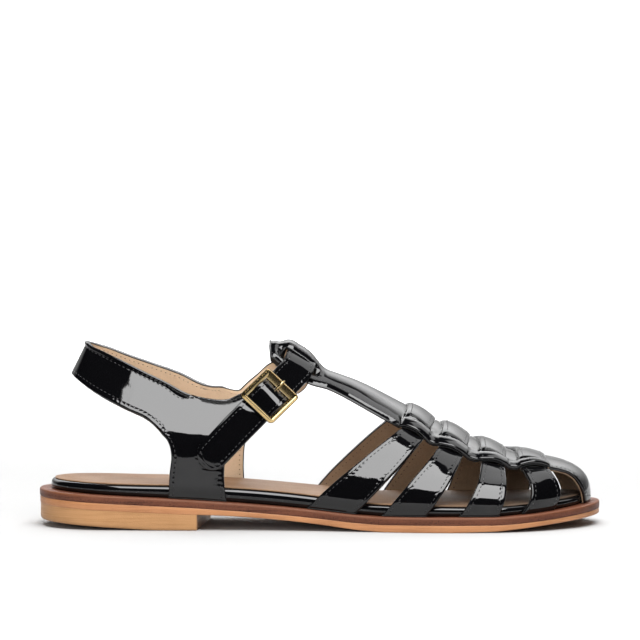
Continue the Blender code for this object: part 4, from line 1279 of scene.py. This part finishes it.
def heel_point(angle, z):
    """Point of the heel's back: a full round in plan that leans forward as it rises."""
    turn = np.radians(np.maximum(90 - np.abs(angle), 0.0))
    side = np.where(angle < 0, -1, 1)
    centre = HEEL_CENTRE + 0 * z
    half = np.abs(last_point(centre, phi_at_height(centre, z, side))[..., 1])
    x = HEEL_CENTRE + HEEL_LEAN * (z - HEEL_LEVEL) - HEEL_DEPTH * np.sin(turn) ** (2 / HEEL_FULL)
    y = side * half * np.cos(turn) ** (2 / HEEL_FULL)
    return np.stack((x, y, z), axis=-1)


def root_line(root, share):
    """Points where the sling leaves a quarter, from its lower to its upper edge."""
    x, z = [between(SLING_ROOTS["low_" + axis][root], SLING_ROOTS["high_" + axis][root], share)
            for axis in "xz"]
    return last_point(x, phi_at_height(x, z, SLING_ROOTS["side"][root]))


def sling_skin():
    """Sling: for each share across it a cubic curve from the outer quarter's join through both
    roots and round the heel to the inner quarter's join; the ends take their direction from
    points a little inside the quarters."""
    share = sling_w
    angle = SLING["angle"][:, None]
    z = between(SLING["low"][:, None], SLING["high"][:, None], share)
    round_heel = heel_point(angle + 0 * z, z)
    leads = []
    for skin, join in ((outer_skin, outer_join), (inner_skin, inner_join)):
        below, above = skin[join.start - LEAD_BELOW, 0], skin[join.stop + LEAD_ABOVE, 0]
        s = share[:, None]
        lead = (1 - s) * (1 - 2 * s) * below + 4 * s * (1 - s) * skin[join, LEAD_COLUMN]
        leads.append(lead + s * (2 * s - 1) * above)
    knots = [leads[0], outer_skin[outer_join, 0], root_line(0, share), *round_heel]
    knots = np.array(knots + [root_line(1, share), inner_skin[inner_join, 0], leads[1]])
    place = runs(knots[:, len(share) // 2], 0)
    fine = np.linspace(place[1], place[-2], SLING_ROWS)
    slope = np.gradient(knots, place, axis=0)
    i = np.clip(np.searchsorted(place, fine) - 1, 0, len(place) - 2)
    h = (place[i + 1] - place[i])[:, None, None]
    s = ((fine - place[i]) / (place[i + 1] - place[i]))[:, None, None]
    skin = cubic(s, knots[i], h * slope[i], knots[i + 1], h * slope[i + 1])
    skin[0], skin[-1] = outer_skin[outer_join, 0], inner_skin[inner_join, 0]
    return skin


def grid_normal(grid):
    """Unit cross product of a grid's two tangents."""
    out = np.cross(np.gradient(grid, axis=0), np.gradient(grid, axis=1))
    return out / np.linalg.norm(out, axis=-1, keepdims=True)


sling = sling_skin()
sling_out = grid_normal(sling)
from_heel = (sling - (HEEL_CENTRE, 0.0, HEEL_LEVEL)) * (1, 1, 0)
sling_out *= np.sign(np.sum(sling_out * from_heel, axis=-1, keepdims=True))
sling_out[0], sling_out[-1] = outer_out[outer_join, 0], inner_out[inner_join, 0]

STRAP_HALF = 7.2
STRAP_OFFSET = 2.3
STRAP_LEAVE = 14.0
CROWN_LIFT = 0.4
CROWN_REACH = 26.0
SHOULDER_LIFT = 1.2
SHOULDER_AT = 7.0
SHOULDER_REACH = 8.0
HUMP = 2.0
HUMP_REACH = 6.4
TWIST = 0.115
TWIST_LIFT = 0.5
TWIST_START = 5.0
TWIST_RUN = 9.0
TWIST_STOP = 22.0
TWIST_FADE = 16.0
TURN_LEAD = 6
TURN_FOLLOW = 8
TIP_ROWS = 6
TURN_ROWS = 6
STRAP_ROWS = 190
ROUND_ROWS = 22
LINE_POINTS = 401
AVERAGINGS = 40
BUCKLE_X = -23.2
ANKLE_INNER = table("x z", ((-31.0, 55.0), (-24.4, 60.6), (-18.2, 65.4)))
ANKLE_TOP = table("x phi", ((-13.0, 0.62), (-10.8, 0.25), (-10.4, -0.1), (-11.7, -0.38)))
ANKLE_OUTER = table("x z", (
    (-14.5, 66.4),
    (-19.0, 62.0),
    (-24.0, 57.2),
    (-31.0, 50.4),
    (-39.0, 42.7),
    (-47.0, 35.0),
    (-53.0, 29.2),
))


def strap_line():
    """Ankle strap's middle line on the last: a cubic curve through its tables, with the run
    along it and its directions across and out, the last evened by repeated averaging."""
    inner = phi_at_height(ANKLE_INNER["x"], ANKLE_INNER["z"], 1)
    outer = phi_at_height(ANKLE_OUTER["x"], ANKLE_OUTER["z"], -1)
    knots_x = np.concatenate((ANKLE_INNER["x"], ANKLE_TOP["x"], ANKLE_OUTER["x"]))
    knots_phi = np.concatenate((inner, ANKLE_TOP["phi"], outer))
    count = np.arange(len(knots_x), dtype=float)
    fine = np.linspace(0, count[-1], LINE_POINTS)
    x, phi = smooth(fine, count, knots_x), smooth(fine, count, knots_phi)
    points, normals = last_point(x, phi), last_normal(x, phi)
    for _ in range(AVERAGINGS):
        normals[1:-1] = (normals[:-2] + 2 * normals[1:-1] + normals[2:]) / 4
    ahead = np.gradient(points, axis=0)
    ahead /= np.linalg.norm(ahead, axis=1, keepdims=True)
    across = np.cross(normals, ahead)
    across /= np.linalg.norm(across, axis=1, keepdims=True)
    return runs(points, 0), points, across, np.cross(ahead, across)


LENGTH, LINE, ACROSS, OUTWARD = strap_line()
CROWN = LENGTH[np.argmax(LINE[:, 2])]
BUCKLE_AT = np.interp(-BUCKLE_X, -LINE[LENGTH > CROWN, 0], LENGTH[LENGTH > CROWN])


def strap_point(at, across, out):
    """Point beside the ankle strap: distance along it, across it and out from the last."""
    base, side, up = [line_at(at, LENGTH, values) for values in (LINE, ACROSS, OUTWARD)]
    return base + side * across[..., None] + up * out[..., None]


def strap_lift(at, across):
    """Ankle strap's distance from the last: on the skin at the quarter, clear of the T-bar's
    bands over the instep, standing off its shoulder, in a hump over the centre bar, and then
    twisted a little so that its free end lies upright."""
    rise = STRAP_OFFSET * ease(at / STRAP_LEAVE)
    crown = np.clip((at - CROWN) / CROWN_REACH, -1.0, 1.0)
    rise = rise + CROWN_LIFT * np.cos(crown * np.pi / 2) ** 2
    rise = rise + SHOULDER_LIFT * np.exp(-(((at - CROWN - SHOULDER_AT) / SHOULDER_REACH) ** 2))
    hump = np.clip(np.abs(at - BUCKLE_AT) / HUMP_REACH, 0.0, 1.0)
    free = ease((at - BUCKLE_AT - TWIST_START) / TWIST_RUN)
    free = free * (1 - ease((at - LENGTH[-1] + TWIST_STOP) / TWIST_FADE))
    return rise + HUMP * np.cos(hump * np.pi / 2) ** 2 + free * (TWIST_LIFT - TWIST * across)


def ankle_skin():
    """Inner quarter and ankle strap in one grid: the quarter's rows, six rows on a cubic curve
    from the quarter into the strap, then rows along the strap up to its round tip."""
    end = LENGTH[-1]
    round_tip = end - STRAP_HALF * (1 - np.sin(np.pi / 2 * np.linspace(0, 1, ROUND_ROWS)[1:]))
    at = np.concatenate((np.linspace(0, end - STRAP_HALF, STRAP_ROWS), round_tip))
    tip = np.clip((at - (end - STRAP_HALF)) / STRAP_HALF, 0.0, 1.0)
    half = STRAP_HALF * np.sqrt(1 - tip**2)
    share = edge_shares(np.full_like(at, 2 * STRAP_HALF), QUARTER_INSET, QUARTER_COLUMNS)
    grid_at = np.broadcast_to(at[:, None], share.shape)
    across = (2 * share - 1) * half[:, None]
    strap = strap_point(grid_at, across, strap_lift(grid_at, across))
    s = np.linspace(0, 1, TURN_ROWS + 2)[1:-1, None, None]
    lead = (inner_skin[-1] - inner_skin[-2]) * TURN_LEAD
    follow = (strap[1] - strap[0]) * TURN_FOLLOW
    turn = cubic(s, inner_skin[-1], lead, strap[0], follow)
    return np.concatenate((inner_skin, turn, strap)), at


ankle, strap_at = ankle_skin()
strap_start = len(ankle) - len(strap_at)
ankle_out = grid_normal(ankle)
ankle_out[: len(inner_skin)] = inner_out
ankle_out[len(inner_skin):] *= np.sign(np.mean(ankle_out[len(inner_skin)] @ OUTWARD[0]))
ankle_out[-TIP_ROWS:] = ankle_out[-TIP_ROWS - 1]


CREASE_RIDGE = 0.6
CREASE_RIDGE_OFF = 1.9
CREASE_RIDGE_WIDE = 1.3
# Each crease: its lower and upper end on the side view, its width and its depth.
CREASES = (
    (-69.2, 45.4, -63.2, 61.2, 0.5, 0.03),
    (-66.6, 47.0, -61.6, 60.0, 0.45, 0.02),
    (-71.8, 48.5, -68.0, 59.0, 0.45, 0.018),
)


def crease_depth(grid):
    """Soft creases across the sling's outer side where it bends at the quarter: three narrow
    troughs with a ridge beside each, in lines drawn on the side view."""
    depth = np.zeros(grid.shape[:2])
    outer = ease((-grid[..., 1] - 8) / 6)
    for x_low, z_low, x_high, z_high, width, deep in CREASES:
        way = np.array((x_high - x_low, z_high - z_low))
        size = np.hypot(*way)
        off = ((grid[..., 0] - x_low) * way[1] - (grid[..., 2] - z_low) * way[0]) / size
        place = ((grid[..., 0] - x_low) * way[0] + (grid[..., 2] - z_low) * way[1]) / size**2
        inside = ease(place / 0.3 + 0.3) * ease((1.15 - place) / 0.3)
        beside = (off - CREASE_RIDGE_OFF * width) / (CREASE_RIDGE_WIDE * width)
        trough = np.exp(-((off / width) ** 2)) - CREASE_RIDGE * np.exp(-(beside**2))
        depth += deep * inside * trough
    return depth * outer


RIM_COLUMNS = 10
SLOT_START = -5.4
SLOT_END = -3.2
SLOT_HALF = 1.1
quarter_outs = (outer_out, sling_out, ankle_out)
quarter_panels = [panel(skin, out, thick=WALL - crease_depth(skin))
                  for skin, out in zip((outer_skin, sling, ankle), quarter_outs)]
outer_panel, sling_panel, ankle_panel = quarter_panels
ankle_panel["along"][strap_start:] = strap_at[:, None]
outer_panel["press"][outer_join.stop:, :RIM_COLUMNS] = -RIM_FLARE
sling_panel["press"][:] = -RIM_FLARE * ease((sling_w - 0.5) / 0.2)
# The prong's slot is left open in the strap.
strap_cells = (strap_at[1:] + strap_at[:-1]) / 2 - BUCKLE_AT
strap_shares = edge_shares(np.array((2 * STRAP_HALF,)), QUARTER_INSET, QUARTER_COLUMNS)[0]
across_cells = (strap_shares[1:] + strap_shares[:-1] - 1) * STRAP_HALF
in_slot = (strap_cells > SLOT_START) & (strap_cells < SLOT_END)
ankle_panel["keep"][strap_start:] &= ~(in_slot[:, None] & (np.abs(across_cells) < SLOT_HALF))
quarter_patent = patent_leather("quarter_patent", QUARTER_INSET)
quarter_lining = sock_material("quarter_lining", QUARTER_PALE, QUARTER_DARK, QUARTER_INSET, paint=True)
quarter_faces = leather("quarters_and_strap", quarter_panels, quarter_patent, quarter_lining,
                        "quarter_strap")

# Each seam runs over one or more panels: the panel's number, its rows in order, and its column.
LAST_STITCH = -1 - STITCH_COLUMN
strap_rows = slice(strap_start, len(ankle) - 9)
quarter_seams = (
    ((0, slice(2, outer_join.start), STITCH_COLUMN),
     (1, slice(3, -3), STITCH_COLUMN),
     (2, slice(inner_join.start - 1, 1, -1), STITCH_COLUMN)),
    ((0, slice(None, outer_join.stop - 1, -1), STITCH_COLUMN),
     (1, slice(3, -3), LAST_STITCH),
     (2, slice(inner_join.stop, len(inner_skin)), STITCH_COLUMN)),
    ((0, slice(2, None), LAST_STITCH),),
    ((2, slice(2, strap_start), LAST_STITCH),),
    ((2, strap_rows, STITCH_COLUMN),),
    ((2, strap_rows, LAST_STITCH),),
)
quarter_rings = []
for parts in quarter_seams:
    line = [quarter_faces[i][rows, column] for i, rows, column in parts]
    outs = [quarter_outs[i][rows, column] for i, rows, column in parts]
    quarter_rings += threads(np.concatenate(line), np.concatenate(outs))
put("quarter_stitches", *net(quarter_rings), waxed_thread, "patent_leather", turn=60)


# Buckle: a square frame cast in light gold metal, its bars bevelled with a fine groove, and
# a flat plate inside the bar that the prong rests on. Its centre bar lies under the strap.

GILT_PALE = (0.54, 0.42, 0.22, 1)
GILT_DARK = (0.46, 0.345, 0.165, 1)
BUCKLE_LONG = 8.6
BUCKLE_WIDE = 8.8
BAR_RADIUS = 0.8
CENTRE_BAR_RADIUS = 0.8
POST_RADIUS = 0.6
BUCKLE_OUT = STRAP_OFFSET + WALL + LAYER_GAP + BAR_RADIUS
CORNER = 1.1
SIDE_BAR = 1.1
SIDE_BEVEL = 1.55
LOWER_BAR = 1.2
UPPER_BAR = 0.62
BAR_PROFILE = table("out_from_middle height", (
    (0.94, -0.6),
    (1.0, -0.1),
    (0.94, 0.2),
    (0.74, 0.46),
    (0.56, 0.60),
    (0.46, 0.54),
    (0.36, 0.60),
    (0.14, 0.86),
    (0.0, 0.92),
    (-0.14, 0.86),
    (-0.52, 0.52),
    (-0.84, 0.22),
    (-1.0, -0.1),
    (-0.94, -0.6),
    (0.0, -0.75),
    (0.94, -0.6),
))
BUCKLE_AXES = [line_at(BUCKLE_AT, LENGTH, values) for values in (LINE, ACROSS, OUTWARD)]
BUCKLE_AXES.append(np.cross(BUCKLE_AXES[1], BUCKLE_AXES[2]))


def buckle_point(along, across, out):
    """Point of the stiff buckle: distances along and across the strap and out from the last."""
    seat, side, up, ahead = BUCKLE_AXES
    return seat + ahead * along[..., None] + side * across[..., None] + up * out[..., None]


def frame_path():
    """Round-cornered square in the strap's plane: places along and across the strap, and the
    outward direction at each."""
    spots, ways = [], []
    size = np.array((BUCKLE_LONG, BUCKLE_WIDE))
    for quarter in range(4):
        turn = quarter * np.pi / 2 + np.linspace(0, np.pi / 2, 7)
        centre = (size - CORNER) * np.array(((1, 1), (-1, 1), (-1, -1), (1, -1)))[quarter]
        way = np.stack((np.cos(turn), np.sin(turn)), axis=1)
        spots.append(centre + CORNER * way)
        ways.append(way)
        bar = np.linspace(1, -1, 25)[1:-1, None] * (size - CORNER)
        along = np.array(((-1, 0), (0, -1), (1, 0), (0, 1)))[quarter] * -bar
        out = np.array(((0, 1), (-1, 0), (0, -1), (1, 0)))[quarter]
        spots.append(along + out * size)
        ways.append(np.tile(out, (len(bar), 1)).astype(float))
    return [np.concatenate(parts + parts[:1])[:-6] for parts in (spots, ways)]


spots, ways = frame_path()
reach, rise = BAR_PROFILE["out_from_middle"], BAR_PROFILE["height"]
lower, upper = np.maximum(ways[:, :1], 0.0) ** 2, np.maximum(-ways[:, :1], 0.0) ** 2
bar_half = SIDE_BAR + (LOWER_BAR - SIDE_BAR) * lower + (UPPER_BAR - SIDE_BAR) * upper
bevel = np.where(reach < 0, 1 + (SIDE_BEVEL - 1) * ways[:, 1:] ** 2, 1.0)
bar_t = spots[:, :1] + ways[:, :1] * reach * bevel * bar_half
bar_w = spots[:, 1:] + ways[:, 1:] * reach * bevel * bar_half
frame_grid = buckle_point(bar_t, bar_w, BUCKLE_OUT + rise)


def rod(path, wide, thick, sides=14):
    """Rod with an oval cross-section along a path of distances along, across and out of the
    strap, each end closed to a point. Returns a grid of rings."""
    path = np.concatenate((path[:1], path, path[-1:]))
    wide = np.concatenate(((0.0,), wide, (0.0,)))
    thick = np.concatenate(((0.0,), thick, (0.0,)))
    ahead = np.gradient(path, axis=0)
    ahead[0], ahead[-1] = ahead[1], ahead[-2]
    ahead /= np.linalg.norm(ahead, axis=1, keepdims=True)
    side = np.tile((0.0, 1.0, 0.0), (len(path), 1))
    side[np.abs(ahead[:, 1]) > 0.9] = (1.0, 0.0, 0.0)
    up = np.cross(ahead, side)
    turn = np.linspace(0, 2 * np.pi, sides + 1)
    ring = (side * wide[:, None])[:, None] * np.cos(turn)[:, None]
    ring = ring + (up * thick[:, None])[:, None] * np.sin(turn)[:, None]
    at = path[:, None] + ring
    return buckle_point(at[..., 0], at[..., 1], at[..., 2])


def straight_rod(start, end, radius, count):
    """Round rod from one place to another, each given along, across and out of the strap."""
    sizes = np.full(count, radius)
    return rod(np.linspace(start, end, count), sizes, sizes)


centre_grid = straight_rod((0, -BUCKLE_WIDE, STRAP_OFFSET), (0, BUCKLE_WIDE, STRAP_OFFSET),
                           CENTRE_BAR_RADIUS, 15)
post_grids = [straight_rod((0, edge, STRAP_OFFSET - 0.5), (0, edge, BUCKLE_OUT - 0.2), POST_RADIUS, 6)
              for edge in (-BUCKLE_WIDE, BUCKLE_WIDE)]
PLATE = table("t out", (
    (-8.2, 0.75),
    (-5.4, -0.3),
    (-5.25, -0.45),
    (-5.35, -0.65),
    (-8.2, 0.2),
    (-8.2, 0.75),
))
plate_w = np.array((-8.3, -8.3, -8.1, -3.5, 0.0, 3.5, 8.1, 8.3, 8.3))[:, None]
plate_open = np.array((0, 1, 1, 1, 1, 1, 1, 1, 0))[:, None]
plate_t = PLATE["t"].mean() + (PLATE["t"] - PLATE["t"].mean()) * plate_open
plate_out = BUCKLE_OUT + PLATE["out"] * plate_open + 0.02 * (1 - plate_open)
plate_grid = buckle_point(plate_t, plate_w + 0 * plate_t, plate_out)


def gilt_metal():
    """Light gold plating: bright, with faint brushed cloudiness in its gloss."""
    material, tree, shader = finish("light_gold", GILT_PALE, 0.2, metallic=1.0)
    place = tree.nodes.new("ShaderNodeTexCoord").outputs["Object"]
    cloud = add(tree, "ShaderNodeTexNoise", place, None, 420.0, 3.0, 0.6).outputs[0]
    tree.links.new(span(tree, cloud, 0.3, 0.7, 0.17, 0.23), shader.inputs["Roughness"])
    tree.links.new(blend(tree, cloud, GILT_PALE, GILT_DARK), shader.inputs["Base Color"])
    return material


light_gold = gilt_metal()
put("buckle", *net([frame_grid, centre_grid, plate_grid] + post_grids), light_gold, "gilt_metal",
    "buckle_frame", turn=35)


# Prong: a bent pin of the same metal, hooked round the centre bar, that comes up through the
# strap's slot and lies on the frame's upper bar.

HOOK_GAP = 0.25
HOOK_HALF = 0.35
REST_GAP = 0.3
PIN_HALF = 0.55
hook = CENTRE_BAR_RADIUS + HOOK_GAP + HOOK_HALF
hook_turn = np.radians(np.linspace(-150, -330, 17))
hook_out = STRAP_OFFSET + hook * np.sin(hook_turn)
hook_path = np.stack((-hook * np.cos(hook_turn), 0 * hook_turn, hook_out), axis=1)
rest = BUCKLE_OUT + BAR_RADIUS + REST_GAP + PIN_HALF
pin = table("along out", (
    (2.2, 3.2),
    (3.5, 4.2),
    (4.6, 5.3),
    (5.6, rest - 0.5),
    (6.8, rest - 0.1),
    (8.0, rest),
    (8.8, rest - 0.2),
    (9.3, rest - 0.8),
))
pin_path = np.stack((-pin["along"], 0 * pin["along"], pin["out"]), axis=1)
prong_path = np.concatenate((hook_path, pin_path))
prong_steps = np.linspace(0, len(prong_path) - 1, 70)
prong_count = np.arange(len(prong_path), dtype=float)
prong_path = np.stack([smooth(prong_steps, prong_count, prong_path[:, i]) for i in range(3)], axis=1)
prong_wide = np.interp(prong_steps, (0, 15, 19, 24), (0.45, 0.45, 0.6, 0.55))
prong_thick = np.interp(prong_steps, (0, 15, 19, 24), (0.35, 0.35, 0.45, 0.4))
put("prong", *net([rod(prong_path, prong_wide, prong_thick)]), light_gold, "gilt_metal",
    "buckle_prong")


# Studio: a pale sweep of paper that rises behind the sandal, a soft box in front above the
# camera and one overhead, a wash on the sweep, a low fill in front, a card at the side, and a
# long lens at the height of a low table.

PAPER_PALE = (0.41, 0.41, 0.41, 1)
# Painted shade: the colour of the paper's bend in reflections.
PAPER_PAINTED_SHADE = (0.09, 0.09, 0.09, 1)
ROOM_DARK = (0.003, 0.003, 0.0033, 1)
ROOM_PALE = (0.9, 0.9, 0.9, 1)
FLOOR_FRONT = -1.75
FLOOR_SIDE = 3.0
BEND = 0.6
BEND_Y = 0.9
WALL_TOP = 2.6


def sweep_points():
    """Floor that turns up into a wall behind: a straight, a quarter circle and a straight,
    carried sideways."""
    turn = np.linspace(0, np.pi / 2, 24)
    y = np.concatenate(((FLOOR_FRONT,), BEND_Y + BEND * np.sin(turn), (BEND_Y + BEND,)))
    z = np.concatenate(((0.0,), BEND - BEND * np.cos(turn), (WALL_TOP,)))
    x = np.array((-FLOOR_SIDE, FLOOR_SIDE))[:, None]
    return np.stack((x + 0 * y, y + 0 * x, z + 0 * x), axis=-1)


sweep_mesh = bpy.data.meshes.new("pale_sweep")
sweep_net = net([sweep_points()])
sweep_mesh.from_pydata(sweep_net[0].tolist(), [], sweep_net[1].tolist())
sweep_mesh.shade_smooth()
pale_paper, paper_tree, paper_shader = finish("pale_paper", PAPER_PALE, 0.9)
paper_shader.inputs["Specular IOR Level"].default_value = 0.0
# The bend of the paper, above the floor and below the lit wall, is painted dark for glossy rays alone:
# painted shade seen only in reflections.
paper_place = paper_tree.nodes.new("ShaderNodeTexCoord").outputs["Object"]
paper_height = add(paper_tree, "ShaderNodeSeparateXYZ", paper_place).outputs["Z"]
above_floor = span(paper_tree, paper_height, 0.0, 0.03)
below_wall = span(paper_tree, paper_height, 0.35, 1.0, 1.0, 0.0)
reflected = paper_tree.nodes.new("ShaderNodeLightPath").outputs["Is Glossy Ray"]
dim = sums(paper_tree, "MULTIPLY", below_wall, above_floor)
dim = sums(paper_tree, "MULTIPLY", dim, reflected)
paper_colour = blend(paper_tree, dim, PAPER_PALE, PAPER_PAINTED_SHADE)
paper_tree.links.new(paper_colour, paper_shader.inputs["Base Color"])
# From behind the paper is clear, so that the sandal can be seen from all round.
behind = paper_tree.nodes.new("ShaderNodeNewGeometry").outputs["Backfacing"]
clear = paper_tree.nodes.new("ShaderNodeBsdfTransparent").outputs[0]
paper_mix = add(paper_tree, "ShaderNodeMixShader", behind, paper_shader.outputs[0], clear)
paper_tree.links.new(paper_mix.outputs[0], paper_tree.nodes["Material Output"].inputs["Surface"])
sweep_mesh.materials.append(pale_paper)
pale_sweep = bpy.data.objects.new("pale_sweep", sweep_mesh)
bpy.context.collection.objects.link(pale_sweep)


def soft_box(name, place, aim, size, strength, spread=180.0):
    """Rectangular area light at a place, turned to an aim, of the given width and height, with
    its power in proportion to its area, and narrowed to the spread in degrees."""
    lamp = bpy.data.lights.new(name, "AREA")
    lamp.shape = "RECTANGLE"
    lamp.size, lamp.size_y = size
    lamp.energy = strength * np.pi * size[0] * size[1]
    lamp.spread = np.radians(spread)
    holder = bpy.data.objects.new(name, lamp)
    holder.location = place
    way = Vector(place) - Vector(aim)
    holder.rotation_euler = way.to_track_quat("Z", "Y").to_euler()
    bpy.context.collection.objects.link(holder)
    return holder


soft_box("front_box", (0.185, -0.739, 1.19), (0.05, 0.0, 0.03), (1.02, 1.03), 9.5)
soft_box("overhead_box", (0.0, 0.5, 2.2), (0.0, 0.3, 0.0), (3.0, 2.0), 3.5).visible_glossy = False
soft_box("wall_wash", (0.0, 0.3, 2.4), (0.0, 1.5, 0.8), (3.0, 0.6), 20.0, 70.0).visible_glossy = False
soft_box("front_fill", (-0.5, -1.3, 0.35), (-0.05, 0.0, 0.03), (1.6, 0.5), 4.5).visible_glossy = False
soft_box("side_card", (0.72, 0.45, 1.2), (0.03, 0.0, 0.05), (0.7, 1.2), 2.0).visible_diffuse = False

world = bpy.data.worlds.new("dark_room")
world.use_nodes = True
# The room is dark to the leather and the lights, and pale where the camera sees past the sweep.
room_tree = world.node_tree
dark_room = room_tree.nodes["Background"]
dark_room.inputs[0].default_value = ROOM_DARK
pale_room = add(room_tree, "ShaderNodeBackground", ROOM_PALE)
seen = room_tree.nodes.new("ShaderNodeLightPath").outputs["Is Camera Ray"]
room_mix = add(room_tree, "ShaderNodeMixShader", seen, dark_room.outputs[0], pale_room.outputs[0])
room_tree.links.new(room_mix.outputs[0], room_tree.nodes["World Output"].inputs["Surface"])
bpy.context.scene.world = world

CAMERA_TILT = np.radians(3.6)
CAMERA_REACH = 2.2
CAMERA_AIM = 0.0925
MM_PER_PIXEL = 0.4528
IMAGE_WIDTH = 640
SENSOR = 36.0
lens = bpy.data.cameras.new("camera")
lens.sensor_width = SENSOR
lens.lens = SENSOR * CAMERA_REACH / (MM_PER_PIXEL * MILLIMETRE * IMAGE_WIDTH)
camera = bpy.data.objects.new("camera", lens)
camera_height = CAMERA_AIM + CAMERA_REACH * np.sin(CAMERA_TILT)
camera.location = (0, -CAMERA_REACH * np.cos(CAMERA_TILT), camera_height)
camera.rotation_euler = (np.pi / 2 - CAMERA_TILT, 0, 0)
bpy.context.collection.objects.link(camera)
bpy.context.scene.camera = camera
bpy.context.scene.view_settings.view_transform = "Standard"
